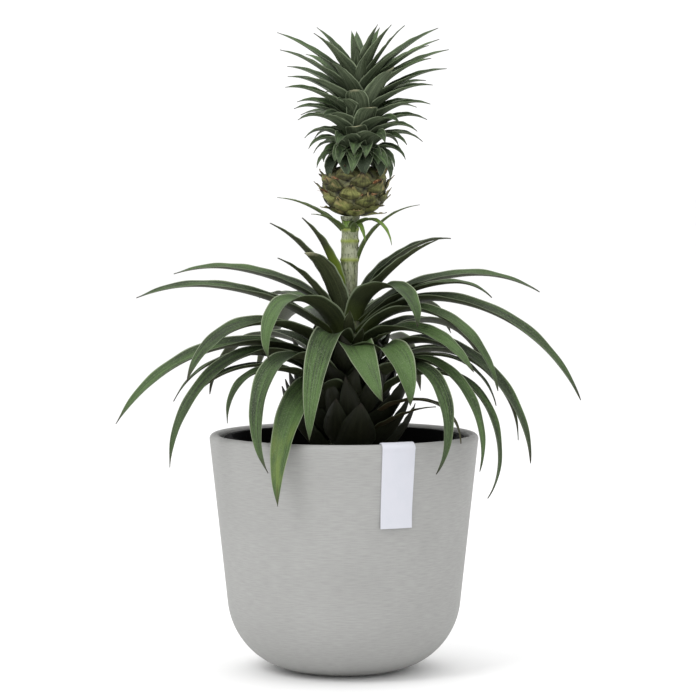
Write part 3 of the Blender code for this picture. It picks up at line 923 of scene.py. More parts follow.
@dataclass
class NurseryPot:
    """The thin growing pot inside: a foot ring, faint steps in its side and a rolled lip."""

    wall: float = 1.2
    lip: float = 3.0
    foot_radius: float = 40.0
    floor: float = 4.4
    foot_band: float = 14.0
    step: float = 0.5
    inset: float = 0.25
    waviness: float = 0.2
    segments: int = 144

    def __post_init__(self) -> None:
        """Reads the pot's foot and top from the frame."""
        low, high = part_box("nursery_pot")
        self.foot, self.top = low[2] / MM, high[2] / MM
        self.rim_radius = (high[0] - low[0]) / 2 / MM

    def side(self, height: float) -> float:
        """The outer radius below the lip."""
        share = share_of(height, self.foot, self.top)
        return self.foot_radius + share * (self.rim_radius - self.lip - self.foot_radius)

    def outline(self) -> Array:
        """The outline from under the floor, up the outside, over the lip and down inside."""
        foot, top, rim = self.foot, self.top, self.rim_radius
        band = foot + self.foot_band
        steps = [(self.foot_radius, foot), (self.side(band), band)]
        steps += [(self.side(band) - self.step, band + 1), (self.side(top - 8) - self.step, top - 8)]
        lip = [(rim - 0.9, top - 7.2), (rim - 0.1, top - 6.6), (rim, top - 1.6)]
        over = arc((rim - 1.2, top - 1.2), 1.2, 0, 90, 5).tolist()
        inside = [(self.side(top) - self.wall, top), (self.side(top - 2) - self.wall - 0.2, top - 2)]
        floor = foot + self.floor
        inside += [(self.foot_radius - self.wall - 1.0, floor), (0.5, floor)]
        under = [(0.5, foot + 3.0), (self.foot_radius - 9, foot + 3.0), (self.foot_radius - 7, foot)]
        return resampled(np.array(under + steps + lip + over + inside), 4.0)

    def build(self, finish: Material) -> None:
        """Turns the outline, with the slight waviness of a thin formed wall."""

        def wavy(azimuth: Array, height: Array) -> Array:
            wave = self.waviness * np.sin(3 * azimuth + 1.0)
            return -self.inset + wave * (height - self.foot) / self.top

        surface = turned(self.outline(), self.segments, bulge=wavy)
        surface.piece("growing_pot", finish, Slot.NURSERY, ["nursery_pot"], sharp=40.0)


@dataclass
class PottingSoil:
    """The soil: a crumbly mound round the stem, with loose crumbs of bark on it."""

    crumbs: int = 900
    crumb_size: tuple[float, float] = (0.7, 2.4)
    slump: float = 2.6
    lumps: tuple[tuple[float, float], ...] = ((0.55, 12.0), (0.35, 4.0))
    segments: int = 160
    seed: int = 5

    def __post_init__(self) -> None:
        """Reads the soil's size from the frame."""
        low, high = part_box("potting_soil")
        self.floor, self.top = low[2] / MM, high[2] / MM
        self.radius = (high[0] - low[0]) / 2 / MM

    def level(self, x: Array, y: Array) -> Array:
        """The soil's height at a place: a low mound, with two sizes of lumps."""
        reach = np.hypot(x, y) / self.radius
        place = np.stack([x, y, np.zeros_like(x)], axis=-1)
        seeds = range(self.seed, self.seed + len(self.lumps))
        fields = (high * ripples(place, long, seed) for seed, (high, long) in zip(seeds, self.lumps))
        return self.top - 1.6 - self.slump * reach**2 + sum(fields) * 0.8

    def mound(self) -> Surface:
        """The body of the soil, turned, with its top raised and lowered in lumps."""
        side = [(0.5, self.floor), (35.6, self.floor), (37.0, self.floor + 4)]
        side += [(self.radius - 1.0, self.top - 6), (self.radius - 1.6, self.top - 3.6)]
        top = [(r, self.top - 3.4) for r in np.linspace(self.radius - 2.0, 0.5, 44)]
        surface = turned(resampled(np.array(side + top), 6.0), self.segments)
        x, y, z = surface.points.T
        upper = z > self.top - 3.5
        surface.points[upper, 2] = self.level(x, y)[upper]
        return surface

    def loose(self) -> Surface:
        """The crumbs: icosahedra, each squashed, turned and half sunk at random."""
        random = np.random.default_rng(self.seed)
        gold = (1 + math.sqrt(5)) / 2
        pair = [(a, b) for a in (-1, 1) for b in (-gold, gold)]
        corners = np.array(
            [(0, a, b) for a, b in pair] + [(a, b, 0) for a, b in pair] + [(b, 0, a) for a, b in pair]
        )
        edge = np.linalg.norm(corners[:, None] - corners[None], axis=-1) < 2.1
        threes = combinations(range(len(corners)), 3)
        faces = np.array([(i, j, k) for i, j, k in threes if edge[i, j] and edge[j, k] and edge[i, k]])
        turned_in = np.linalg.det(corners[faces]) < 0
        faces[turned_in] = faces[turned_in][:, ::-1]
        corners = unit(corners.astype(float))
        reach = self.radius * np.sqrt(random.uniform(0.03, 0.93, self.crumbs))
        azimuth = random.uniform(0, 2 * math.pi, self.crumbs)
        x, y = reach * np.cos(azimuth), reach * np.sin(azimuth)
        size = random.uniform(*self.crumb_size, self.crumbs) * random.uniform(0.4, 1.0, self.crumbs)
        squash = random.uniform(0.5, 1.0, (self.crumbs, 1, 3))
        shape = squash * random.uniform(0.8, 1.2, (self.crumbs, 12, 1))
        axes = np.linalg.qr(random.normal(size=(self.crumbs, 3, 3)))[0]
        axes *= np.sign(np.linalg.det(axes))[:, None, None]
        lumps = (corners * shape * size[:, None, None]) @ axes
        centre = np.stack([x, y, self.level(x, y) + 0.25 * size], axis=-1)
        points = (lumps + centre[:, None]).reshape(-1, 3)
        triangles = (faces[None] + 12 * np.arange(self.crumbs)[:, None, None]).reshape(-1, 3)
        return Surface(points, np.zeros((0, 4), int), triangles, points[:, :2] * MM)

    def build(self, finish: Material) -> None:
        """The mound and the crumbs."""
        self.mound().piece("soil_mound", finish, Slot.SOIL, ["potting_soil"])
        self.loose().piece("soil_crumbs", finish, Slot.SOIL, sharp=30.0)


@dataclass
class CardTag:
    """A bare card strip folded over the rim, which follows the wall and lifts at its end."""

    pot: CoverPot
    width: float = 19.0
    drop: float = 45.4
    inside: float = 14.0
    thickness: float = 0.7
    clearance: float = 0.35
    lifted: float = 0.9
    lifted_length: float = 14
    bearing: float = math.radians(293.1)
    columns: int = 13

    def build(self, finish: Material) -> None:
        """Carries the strip's section from its outer end, over the rim, to its inner end."""
        pot = self.pot
        low = pot.height - self.drop
        lip = pot.wall / 2
        rise = np.linspace(low, pot.height - 3, 30)
        lift = self.lifted * np.clip(1 - (rise - low) / self.lifted_length, 0, 1) ** 2
        face = pot.wall_radius(0) + rise * math.tan(pot.draft)
        outer = np.stack([face + self.clearance + lift, rise], 1)
        over = arc((pot.top_radius - lip, pot.height - lip), lip + self.clearance, 8, 172, 14)
        fall = np.linspace(pot.height - 3, pot.height - self.inside, 10)
        slope = pot.wall_radius(0) + fall * math.tan(pot.draft)
        inner = np.stack([slope - pot.wall - self.clearance, fall], 1)
        path = np.concatenate([outer, over, inner])
        along = unit(np.gradient(path, axis=0))
        face = np.stack([along[:, 1], -along[:, 0]], 1)
        spread = np.linspace(-1, 1, self.columns) * self.width / 2 / pot.top_radius + self.bearing
        sections = np.concatenate([spread, spread[::-1]])
        depth = np.repeat([self.thickness, 0.0], self.columns)
        radius = path[:, :1] + face[:, :1] * depth
        height = path[:, 1:] + face[:, 1:] * depth
        rings = np.stack([radius * np.cos(sections), radius * np.sin(sections), height], axis=-1)
        uv = np.stack(np.broadcast_arrays(sections[None] * pot.top_radius * MM, height * MM), axis=-1)
        ringed(rings, uv).piece("card_tag", finish, Slot.TAG, ["hang_tag"], sharp=35.0)


# --------------------------------------------------------------------------- the plant


ROSETTE = (
    # The youngest leaves, upright round the fruit stalk.
    Blade(196, 205, (14, 234), (27, 252), 14, channel=0.26, fresh=0.4, bleach=1.0),
    Blade(185, 202, (25, 234), (44, 249), 13, channel=0.3, fresh=0.2),
    Blade(225, 192, (19, 221), (33, 233), 16, channel=0.2, fresh=0.15, blunt=True),
    Blade(201, 188, (24, 217), (42, 230), 10, channel=0.3),
    Blade(15, 203, (38, 235), (59, 240), 13, channel=0.3, fresh=0.15),
    Blade(350, 200, (28, 226), (50, 240), 12, channel=0.3, fresh=0.2),
    Blade(101, 199, (28, 213), (51, 213), 14),
    Blade(315, 195, (34, 214), (53, 193), 21, channel=0.18, fresh=0.5),
    # Upper arching leaves.
    Blade(170, 197, (60, 222), (100, 220), 17, roll=16),
    Blade(8, 193, (62, 219), (108, 210), 17, roll=-18),
    Blade(350, 189, (58, 216), (80, 208), 14, roll=-10),
    Blade(134, 192, (44, 207), (74, 205), 16),
    Blade(188, 184, (70, 213), (118, 208), 18, roll=20),
    Blade(345, 187, (58, 206), (131, 153), 18, roll=-20),
    Blade(48, 184, (52, 204), (88, 184), 18),
    Blade(228, 181, (54, 206), (70, 176), 20, 6, fresh=0.55),
    Blade(329, 181, (48, 201), (94, 159), 16, roll=-10),
    Blade(84, 182, (52, 201), (111.6, 180), 18),
    Blade(319, 175, (40, 191), (89, 170), 18, roll=-16, fresh=0.45),
    Blade(270, 185, (15, 195), (18, 201), 8),
    Blade(118, 176, (56, 198), (116, 158), 18),
    # Middle leaves.
    Blade(28, 174, (56, 192), (88, 164), 18),
    Blade(255, 172, (38, 188), (75, 134), 18, -2, fresh=0.5),
    Blade(303, 172, (28, 185), (43, 190), 7),
    Blade(212, 168, (62, 194), (103, 164), 20, roll=18, fresh=0.2),
    Blade(285, 172, (22, 186), (31, 192), 7),
    Blade(270, 162, (30, 182), (60, 154), 22, 18, fresh=0.95),
    Blade(299, 158, (45, 181), (69, 152), 24, roll=-6, fresh=0.6),
    Blade(66, 162, (60, 182), (106, 148), 18),
    Blade(338, 161, (51, 183), (107, 119), 18, roll=-14, fresh=0.2),
    Blade(150, 161, (58, 184), (92, 150), 18),
    Blade(191, 155, (62, 176), (98, 151), 12),
    Blade(336, 155, (60, 176), (88, 150), 9),
    Blade(200, 162, (66, 182), (134, 141), 20, roll=20, fresh=0.3),
    # Lower leaves, which bend over the rim.
    Blade(213, 150, (64, 178), (114, 119), 16, roll=14),
    Blade(12, 154, (58, 176), (98, 126), 15),
    Blade(245, 141, (46, 160), (88.7, 100), 21, fresh=0.6, patch=0.4),
    Blade(314, 146, (66, 168), (82, 116), 16, -14, fresh=0.35),
    Blade(322, 150, (61, 172), (90, 116), 14),
    Blade(198, 148, (58, 170), (100, 137), 11),
    Blade(220, 145, (70, 168), (91, 143), 13, 8),
    Blade(100, 148, (60, 170), (97, 122), 15),
    Blade(233, 151, (68, 173), (84, 117), 17, 10, fresh=0.4),
    Blade(331, 140, (72, 163), (87, 100), 12, fresh=0.15),
    Blade(325, 134, (58, 151), (75, 130), 7, dry=0.6),
    Blade(318, 129, (45, 146), (64, 150), 6, dry=0.4),
)

STALK_BRACTS = (
    Blade(172, 244.5, (23, 258), (41, 263), 6.5, fresh=0.2, channel=0.3),
    Blade(205, 245.5, (13, 251.5), (24, 254), 6.5, fresh=0.8),
    Blade(262, 246, (10, 250), (14, 246), 8, fresh=0.4, channel=0.1),
    Blade(323, 246.5, (16, 250.5), (29, 237), 6.5, fresh=1.0),
    Blade(294, 244, (11, 248.5), (20, 238), 5, fresh=0.5),
    Blade(2, 228.5, (19, 250), (39, 259), 6.5, fresh=0.25, channel=0.3),
)


@dataclass
class Shoot:
    """The leaning shoot: its stem, its stalk and the leaves on them."""

    stem_foot: tuple[float, float] = (2.0, 118.0)
    stem_head: tuple[float, float] = (2.8, 206.0)
    foot_radius: float = 12.0
    head_radius: float = 5.2
    stalk_head: tuple[float, float] = (3.4, 252.8)
    stalk_radius: float = 4.6
    rings: tuple[float, ...] = (228.5, 239.0, 245.5)
    ring_rise: float = 0.55
    scar_depth: float = 0.35
    scar_spacing: float = 5.0
    leaf: Habit = Habit(0.72, 2.6, 0.9, 1.0, 60, 13, 0.16)
    bract: Habit = Habit(0.9, 1.6, 0.9, 0.6, 30, 9, 0.08)
    hidden_leaves: int = 44
    hidden_channel: float = 0.3

    def stem_x(self, height: float) -> float:
        """The x of the stem's axis at a height."""
        share = share_of(height, self.stem_foot[1], self.stem_head[1])
        return between(self.stem_foot[0], self.stem_head[0], np.maximum(share, 0.0))

    def stem_radius(self, height: float) -> float:
        """The stem's radius, tapering evenly above the soil."""
        share = share_of(height, self.stem_foot[1], self.stem_head[1])
        return between(self.foot_radius, self.head_radius, np.clip(share, 0.0, 1.0))

    def stalk_x(self, height: float) -> float:
        """The x of the fruit stalk's axis at a height."""
        share = share_of(height, self.stem_head[1], self.stalk_head[1])
        return between(self.stem_head[0], self.stalk_head[0], share)

    def build_stem(self, finish: Material) -> None:
        """The leafy stem: a taper with shallow scar rings."""
        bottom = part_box("stem")[0][2] / MM
        heights = np.linspace(bottom + 4, self.stem_head[1] - 0.6, 150)
        scars = self.scar_depth * np.cos(heights * 2 * math.pi / self.scar_spacing) ** 8
        side = np.stack([self.stem_radius(heights) - scars, heights], 1)
        foot = [(0.3, bottom), (self.foot_radius - 3, bottom), (self.foot_radius - 0.6, bottom + 2)]
        head = [(self.head_radius - 0.8, self.stem_head[1]), (0.3, self.stem_head[1])]
        outline = np.concatenate([foot, side, head])
        surface = turned(outline, 48, self.stem_x, values={"joint": np.zeros_like})
        surface.piece("leafy_stem", finish, Slot.STALK, ["stem"])

    def joint(self, height: Array) -> Array:
        """1 at each ring of the stalk, falling to 0 over 1.5 mm."""
        near = [np.exp(-(((height - ring) / 1.1) ** 2)) for ring in self.rings]
        return np.clip(np.sum(near, axis=0), 0, 1)

    def build_stalk(self, finish: Material) -> None:
        """The fruit stalk: ridged at its joints, slightly ribbed, and wider under the fruit."""
        foot, top = self.stem_head[1] + 0.3, self.stalk_head[1]
        heights = np.linspace(foot, top, 120)
        radius = self.stalk_radius + self.ring_rise * self.joint(heights)
        side = np.stack([radius + 0.9 * smooth_step(heights, top - 4, top), heights], 1)
        outline = np.concatenate([[(0.3, foot)], side, [(0.3, top)]])

        def ribbed(azimuth: Array, height: Array) -> Array:
            return 0.12 * np.sin(11 * azimuth + height / 9) + 0.15 * np.sin(2 * azimuth + height / 7)

        surface = turned(outline, 72, self.stalk_x, ribbed, {"joint": self.joint})
        surface.piece("fruit_stalk", finish, Slot.STALK, ["peduncle"])

    def build_rosette(self, finish: Material) -> None:
        """The leaves that can be told apart, each standing for its own solid."""
        tones = np.random.default_rng(11).uniform(0, 1, len(ROSETTE))
        for number, (blade, tone) in enumerate(zip(ROSETTE, tones), start=1):
            surface = blade_surface(blade, self.stem_x, self.stem_radius, self.leaf, float(tone))
            surface.piece(f"blade_{number:02d}", finish, Slot.LEAF, [f"leaf_{number:02d}"])

    def build_hidden(self, finish: Material) -> None:
        """The crowded leaf bases in the rosette's middle, spiralling up the stem, in painted shade."""
        random = np.random.default_rng(23)
        for i in range(self.hidden_leaves):
            share = i / (self.hidden_leaves - 1)
            bearing = math.degrees(i * GOLDEN_ANGLE) % 360 + random.uniform(-18, 18)
            root = 114 + 58 * share
            reach = random.uniform(34, 41) - 12 * share
            rise = random.uniform(38, 47) - 24 * share
            crest = (12 + 0.62 * (reach - 8), root + rise * 0.44)
            tip = (reach, root + rise * random.uniform(0.85, 1.0))
            sway, roll = random.uniform(-9, 9), random.uniform(-22, 22)
            width = random.uniform(17, 26) - 4 * share
            fresh, tone = random.uniform(0, 0.5), random.uniform()
            blade = Blade(bearing, root, crest, tip, width, sway, roll, self.hidden_channel, fresh)
            surface = blade_surface(blade, self.stem_x, self.stem_radius, self.leaf, tone)
            surface.piece(f"inner_blade_{i + 1:02d}", finish, Slot.LEAF)

    def build_bracts(self, finish: Material) -> None:
        """The small fresh leaves below the fruit."""

        def radius(_: float) -> float:
            return self.stalk_radius + 0.1

        tones = np.random.default_rng(31).uniform(0, 1, len(STALK_BRACTS))
        for number, (blade, tone) in enumerate(zip(STALK_BRACTS, tones), start=1):
            surface = blade_surface(blade, self.stalk_x, radius, self.bract, float(tone))
            surface.piece(f"stalk_bract_{number}", finish, Slot.BRACT, [f"peduncle_bract_{number}"])


# A floral bract's half width at shares of its length, against its widest.
BRACT_OUTLINE = (
    *((0, 0.7), (0.12, 1), (0.35, 0.96), (0.52, 0.78)),
    *((0.68, 0.5), (0.82, 0.26), (0.93, 0.1), (1, 0.01)),
)


@dataclass
class Fruit:
    """The little fruit: a barrel of domed eyes, each with a spined bract over it."""

    centre: tuple[float, float] = (5.8, 267.0)
    radius: float = 17.2
    half_height: float = 14.4
    ends: float = 0.965
    fullness: float = 2.4
    swell: float = 0.13
    eyes: int = 30
    eye_width: float = 0.46
    eye_height: float = 0.36
    flakes: int = 4
    lowest_flakes: float = -0.3

    def girth(self, level: Array) -> Array:
        """The barrel's radius at a level from -1 to 1: a superellipse, swollen above the middle."""
        barrel = (1 - np.abs(level) ** self.fullness) ** (1 / self.fullness)
        return self.radius * barrel * (1 + self.swell * level)

    def eye_places(self) -> Array:
        """Each eye's azimuth and level, on one spiral."""
        order = np.arange(self.eyes)
        return np.stack([order * GOLDEN_ANGLE, -0.9 + 1.76 * (order + 0.5) / self.eyes], 1)

    def dome(self, azimuth: Array, level: Array) -> Array:
        """How high the skin stands in its nearest eye: 1 at the top, 0 at the seam."""
        places = self.eye_places()
        gap = np.remainder(azimuth[..., None] - places[:, 0] + math.pi, 2 * math.pi) - math.pi
        across = gap * self.girth(level)[..., None] / self.radius / self.eye_width
        along = (level[..., None] - places[:, 1]) / self.eye_height
        return np.clip(1 - (across**2 + along**2), 0, 1).max(axis=-1)

    def point(self, azimuth: Array, level: Array, out: Array) -> Array:
        """A place on the barrel, moved out by so many millimetres."""
        radius = self.girth(level) + out
        x = self.centre[0] + radius * np.cos(azimuth)
        height = self.centre[1] + self.half_height * level
        return np.stack([x, radius * np.sin(azimuth), height], -1)

    def build_rind(self, finish: Material) -> None:
        """The barrel with its skin raised over each eye and sunk in the seams."""
        levels = self.ends * np.sin(np.linspace(-1, 1, 96) * math.pi / 2)
        azimuth = np.arange(220) * 2 * math.pi / 220
        level_grid, azimuth_grid = np.meshgrid(levels, azimuth, indexing="ij")
        dome = self.dome(azimuth_grid, level_grid)
        rough = 0.12 * ripples(self.point(azimuth_grid, level_grid, 0.0), 3.0, 2)
        rings = self.point(azimuth_grid, level_grid, 2.0 * dome**0.6 - 1.5 + rough)
        uv = np.stack([azimuth_grid / (2 * math.pi), level_grid], axis=-1)
        ringed(rings, uv, {"dome": dome}).piece("fruit_rind", finish, Slot.FRUIT, ["fruit"])

    def scale(self, azimuth: float, level: float, tone: float) -> Surface:
        """One bract: from under its eye, up over the dome, then out into a thin spine.

        Its middle line climbs from 0.3 below the eye to 0.25 above it while its distance
        from the barrel grows with the dome and, past two thirds, with the spine.
        """
        share = np.linspace(0, 1, 26)
        climb = level + self.eye_height * (-1.0 + 1.5 * share - 0.15 * share**3)
        spine = smooth_step(share, 0.5, 1.0)
        lean = (tone - 0.5) * 0.34 * spine
        bulge = 1.8 * np.sin(np.clip(share / 0.62, 0, 1) * math.pi / 2)
        out = 0.1 + bulge + (1.8 + 3.2 * tone) * spine**1.2
        centre = self.point(azimuth + lean, np.clip(climb, -0.985, 0.985), out)
        centre[:, 2] += 1.6 * spine * math.copysign(1.0, level + 0.55)
        outward, sideways = compass(azimuth)
        normal, across = strip_frame(centre, sideways, outward)
        outline = np.interp(share, *np.transpose(BRACT_OUTLINE))
        half = 6.6 * outline * (0.75 + 0.25 * self.girth(np.array(level)) / self.radius)
        return strip(centre, normal, across, half, -1.8 * outline, 0.45, 11, 1.5, 0.22, {"tone": tone})

    def sepals(self, azimuth: float, level: float, random: np.random.Generator) -> list[Surface]:
        """Withered sepals in one eye: short curled flakes that stand out above the bract."""
        flakes = []
        for _ in range(self.flakes):
            turn = azimuth + random.uniform(-0.2, 0.2)
            share = np.linspace(0, 1, 9)
            length = random.uniform(0.08, 0.24)
            climb = np.clip(level + self.eye_height * 0.2 + length * share, -0.95, 0.95)
            out = 1.2 + random.uniform(1.0, 3.4) * share + 0.5 * share**2
            centre = self.point(turn + random.uniform(-0.2, 0.2) * share, climb, out)
            sideways = compass(turn)[1] + random.uniform(-0.5, 0.5) * UP
            normal, across = strip_frame(centre, unit(sideways))
            taper = np.sin((0.2 + 0.8 * (1 - share)) * math.pi / 2)
            half = random.uniform(0.6, 1.3) * taper * (1 - share**4)
            values = {"tone": random.uniform()}
            flakes.append(strip(centre, normal, across, half, 0.6 * half, 0.25, 5, values=values))
        return flakes

    def build_dressing(self, scale_finish: Material, petal_finish: Material) -> None:
        """The bracts over every eye, and withered sepals in every second one above the foot."""
        random = np.random.default_rng(17)
        scales, flakes = [], []
        for number, (azimuth, level) in enumerate(self.eye_places()):
            scales.append(self.scale(azimuth, level, float(random.uniform())))
            if number % 2 == 0 and level > self.lowest_flakes:
                flakes += self.sepals(azimuth, level, random)
        joined(scales).piece("fruit_bracts", scale_finish, Slot.FRUIT)
        joined(flakes).piece("fruit_withered_sepals", petal_finish, Slot.FRUIT)


@dataclass(frozen=True)
class CrownLeaf:
    """One crown leaf, by its tip: the bearing, the reach from the axis, and the height."""

    bearing: float
    reach: float
    height: float
    width: float = 13.0
    fresh: float = 0.15
    blunt: bool = False
    roll: float = 0.0


CROWN = (
    # Left, from the bottom up.
    CrownLeaf(200, 24.5, 279.5, 9, 0.0),
    CrownLeaf(160, 26, 287.5, 10),
    CrownLeaf(192, 28.5, 290, 11, 0.05),
    CrownLeaf(168, 31, 296, 12),
    CrownLeaf(203, 37, 305.6, 14, roll=-12),
    CrownLeaf(188, 36, 312, 13),
    CrownLeaf(165, 35, 316, 13),
    CrownLeaf(200, 43.5, 323.5, 13, roll=10),
    CrownLeaf(212, 38, 328.5, 14, 0.1, roll=-10),
    CrownLeaf(160, 42.5, 336, 12),
    CrownLeaf(195, 46, 344, 13, 0.1),
    CrownLeaf(168, 46.5, 354.5, 10, 0.3),
    CrownLeaf(158, 26, 357.5, 11, 0.35),
    CrownLeaf(216, 31, 353, 15, 0.2, roll=8),
    # Right, from the bottom up.
    CrownLeaf(335, 23, 280, 9, 0.0),
    CrownLeaf(352, 26.5, 284, 10),
    CrownLeaf(340, 28, 292, 12, 0.05),
    CrownLeaf(10, 36, 294, 11),
    CrownLeaf(345, 33.5, 299.5, 12),
    CrownLeaf(5, 38, 306, 12),
    CrownLeaf(350, 40, 314.5, 13),
    CrownLeaf(15, 34, 316, 12),
    CrownLeaf(347, 41, 325, 13, 0.1),
    CrownLeaf(12, 38.5, 328, 12),
    CrownLeaf(355, 48.5, 334, 12),
    CrownLeaf(345, 41, 339.5, 13, 0.15),
    CrownLeaf(8, 50, 345, 11, 0.3),
    CrownLeaf(352, 44.5, 350, 11, 0.4),
    CrownLeaf(318, 30, 344, 13, 0.2, roll=-14),
    CrownLeaf(14, 45, 357.2, 11, 0.3),
    CrownLeaf(340, 27, 357.5, 8, 0.3),
    # Front, from the bottom up: the lowest fold down over the fruit, and some are cut short.
    CrownLeaf(263, 20.5, 276.5, 11, 0.3),
    CrownLeaf(310, 22.5, 278.5, 12, 0.15),
    CrownLeaf(237, 22.5, 281, 12, 0.25),
    CrownLeaf(287, 22, 284.5, 12, 0.1),
    CrownLeaf(265, 21, 286, 12, 0.35),
    CrownLeaf(240, 27, 291.5, 14, 0.1, roll=8),
    CrownLeaf(302, 27, 293, 15, 0.1, roll=-8),
    CrownLeaf(266, 17.5, 302, 12, 0.25, True),
    CrownLeaf(222, 29, 307, 14, 0.05, roll=6),
    CrownLeaf(318, 30, 304, 14, 0.1, roll=-6),
    CrownLeaf(293, 18.5, 312.5, 13, 0.3, True),
    CrownLeaf(240, 24, 316, 14, 0.1),
    CrownLeaf(268, 18.5, 322, 13, 0.2, True),
    CrownLeaf(308, 27.5, 334, 16, 0.25, True, -18),
    CrownLeaf(228, 27, 337, 14, 0.15),
    CrownLeaf(282, 17, 341, 11, 0.4),
    CrownLeaf(258, 11, 346, 9, 0.6),
    CrownLeaf(330, 19.5, 358.0, 14, 0.35),
    CrownLeaf(316, 13.5, 358.2, 12, 0.5),
    CrownLeaf(255, 8, 352, 11, 1.0),
    CrownLeaf(46, 15, 357.5, 12, 0.4),
    CrownLeaf(110, 13, 356, 10, 0.5),
)


@dataclass
class Crown:
    """The crown: a short core with crowded leaves, low and curled below, tall above."""

    foot_x: float = 7.6
    head: tuple[float, float] = (9.0, 329.0)
    top: float = 358.6
    back_leaves: int = 18
    skirt: int = 10
    root_share: float = 0.54
    blunt_root_share: float = 0.42
    arch: tuple[float, float] = (7.0, 3.0)
    facing: float = 24.0
    habit: Habit = Habit(1.0, 2.0, 1.1, 0.8, 40, 11, 0.1)

    def __post_init__(self) -> None:
        """Reads the crown's foot from the frame: it stands on the fruit."""
        self.foot = (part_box("fruit")[1][2]) / MM + 0.3

    def axis_x(self, height: float) -> float:
        """The x of the crown's axis at a height."""
        return between(self.foot_x, self.head[0], share_of(height, self.foot, self.head[1]))

    def core_radius(self, height: float) -> float:
        """The core's radius where a leaf leaves it."""
        return np.maximum(1.0, 8.0 - 7.0 * share_of(height, self.foot, self.head[1]))

    def blade(self, leaf: CrownLeaf, random: np.random.Generator) -> Blade:
        """The whole leaf from its tip. A leaf that isn't blunt turns its upper side to the front.

        Its root is about half way down the crown, and it arches most low down.
        """
        if leaf.blunt:
            root_share, arch, facing, channel = self.blunt_root_share, 1.5, 0.0, 0.1
        else:
            arch = between(*self.arch, share_of(leaf.height, self.foot, self.top))
            facing = -self.facing * math.cos(math.radians(leaf.bearing))
            root_share, channel = self.root_share, 0.25
        root = self.foot + 1.5 + root_share * max(leaf.height - self.foot, 0.0)
        crest = (leaf.reach * 0.6, root + 0.6 * (leaf.height - root) + arch)
        tip = (leaf.reach, leaf.height)
        sway, roll = random.uniform(-2.5, 2.5), leaf.roll + facing + random.uniform(-8, 8)
        looks = {"fresh": leaf.fresh, "blunt": leaf.blunt}
        return Blade(leaf.bearing, root, crest, tip, leaf.width, sway, roll, channel, **looks)

    def back(self, random: np.random.Generator) -> list[CrownLeaf]:
        """The leaves at the back: their reach is widest three quarters of the way up."""
        made = []
        for i in range(self.back_leaves):
            share = i / (self.back_leaves - 1)
            spread = 25 * math.sin(math.pi / 2 * min(share / 0.7, 1.0))
            reach = 23 + spread - 12 * max(0.0, share - 0.85) / 0.15
            bearing = 90 + 58 * math.sin(2.4 * i) + random.uniform(-6, 6)
            height = self.foot + 2 + (self.top - 4 - self.foot) * share
            reach *= random.uniform(0.92, 1.0)
            made.append(CrownLeaf(bearing, reach, height, 12.5 - 2 * share, 0.2))
        return made

    def low(self, random: np.random.Generator) -> list[CrownLeaf]:
        """Two rings of short leaves that fold over the fruit's shoulder, the lower in painted shade.
        """
        made = []
        for i in range(2 * self.skirt):
            bearing = 180 * (i + 0.5) / self.skirt + random.uniform(-9, 9)
            if i % 2:
                height = self.foot + random.uniform(-9.0, -6.0)
                # Painted shade: the lower ring's negative fresh darkens it.
                made.append(CrownLeaf(bearing, random.uniform(15.5, 18), height, 15, -0.2))
            else:
                height = self.foot + random.uniform(-3.0, 2.0)
                made.append(CrownLeaf(bearing, random.uniform(16, 20), height, 14, 0.4))
        return made

    def build(self, core_finish: Material, leaf_finish: Material) -> None:
        """The core, then every leaf as its own piece."""
        heights = np.linspace(self.foot, self.head[1], 40)
        side = np.stack([self.core_radius(heights), heights], 1)
        outline = np.concatenate([[(0.3, self.foot)], side, [(0.3, self.head[1])]])
        core = turned(outline, 40, self.axis_x)
        core.piece("crown_core", core_finish, Slot.CROWN, ["crown"])
        random = np.random.default_rng(43)
        for number, leaf in enumerate((*CROWN, *self.back(random), *self.low(random)), start=1):
            blade, tone = self.blade(leaf, random), float(random.uniform())
            surface = blade_surface(blade, self.axis_x, self.core_radius, self.habit, tone)
            surface.piece(f"crown_blade_{number:02d}", leaf_finish, Slot.CROWN, ["crown"])


# --------------------------------------------------------------------------- the studio


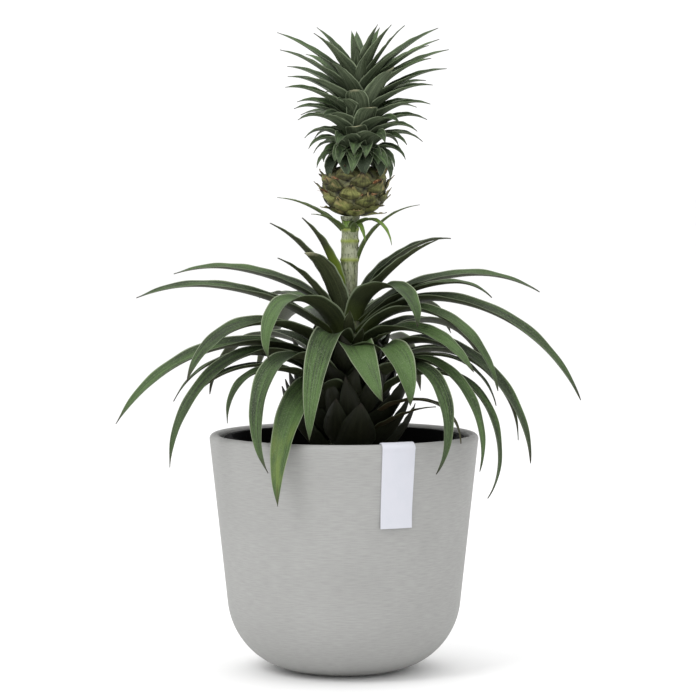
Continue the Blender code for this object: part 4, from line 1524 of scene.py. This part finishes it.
@dataclass
class Studio:
    """A white paper floor, soft light from above and the left, and the camera."""

    distance: float = 1.6
    eye_height: float = 0.277
    aim_down: float = math.radians(3.49)
    offset: float = 0.0022
    lens: float = 149.0
    floor_size: float = 60.0
    middle: float = 0.18
    sky: float = 1.1

    def build_floor(self, finish: Material) -> None:
        """One large flat sheet."""
        half = self.floor_size / 2
        corners = [(-half, -half, 0), (half, -half, 0), (half, half, 0), (-half, half, 0)]
        mesh = bpy.data.meshes.new("studio_floor")
        mesh.from_pydata(corners, [], [(0, 1, 2, 3)])
        mesh.materials.append(finish)
        floor = placed("studio_floor", mesh)

    def build_light(self, name: str, place: Triple, size: float, power: float) -> None:
        """A square soft light that faces the plant's middle."""
        data = bpy.data.lights.new(name, "AREA")
        data.size = size
        data.energy = power
        light = placed(name, data)
        light.location = place
        away = np.array(place) - self.middle * UP
        tilt = math.acos(away[2] / np.linalg.norm(away))
        light.rotation_euler = (tilt, 0.0, math.atan2(away[1], away[0]) + math.pi / 2)

    def build_camera(self) -> None:
        """A long lens, a little above the rim, looking slightly down."""
        data = bpy.data.cameras.new("camera")
        data.lens = self.lens
        camera = placed("camera", data)
        camera.location = (self.offset, -self.distance, self.eye_height)
        camera.rotation_euler = (math.pi / 2 - self.aim_down, 0.0, 0.0)
        bpy.context.scene.camera = camera

    def build(self, finish: Material) -> None:
        """The floor, the lights, the world and the camera."""
        self.build_floor(finish)
        self.build_light("key_light", (-0.8, -0.9, 1.3), 0.6, 8.0)
        self.build_light("top_light", (0.1, 0.2, 1.6), 1.2, 5.0)
        world = bpy.data.worlds.new("studio")
        world.use_nodes = True
        background = world.node_tree.nodes["Background"]
        background.inputs["Color"].default_value = (1.0, 1.0, 1.0, 1.0)
        background.inputs["Strength"].default_value = self.sky
        bpy.context.scene.world = world
        bpy.context.scene.view_settings.view_transform = "Standard"
        self.build_camera()


def main() -> None:
    """Builds the camera first, then the pots, the plant and their finishes."""
    logging.basicConfig(level=logging.INFO, format="%(message)s")
    Studio().build(STUDIO_PAPER.make())
    stalk_finish = SCURFY_STALK.make()
    leaf_finish = ROSETTE_LEAF.make()
    painted_shade_finish = PAINTED_SHADE_LEAF.make()
    crown_finish = CROWN_LEAF.make()
    bract_finish = FRESH_BRACT.make()
    pot = CoverPot()
    pot.build(RecycledPlastic().make())
    NurseryPot().build(NURSERY_PLASTIC.make())
    PottingSoil().build(PEAT_SOIL.make())
    CardTag(pot).build(SMOOTH_CARD.make())
    shoot = Shoot()
    shoot.build_stem(stalk_finish)
    shoot.build_stalk(stalk_finish)
    shoot.build_rosette(leaf_finish)
    # The inner leaves take the painted-shade leaf finish.
    shoot.build_hidden(painted_shade_finish)
    shoot.build_bracts(bract_finish)
    fruit = Fruit()
    fruit.build_rind(PINEAPPLE_RIND.make())
    fruit.build_dressing(DriedScale().make(), WitheredPetal().make())
    # The crown's core takes the painted-shade leaf finish, dark as shade under the crown's leaves.
    Crown().build(painted_shade_finish, crown_finish)


if __name__ == "__main__":
    main()
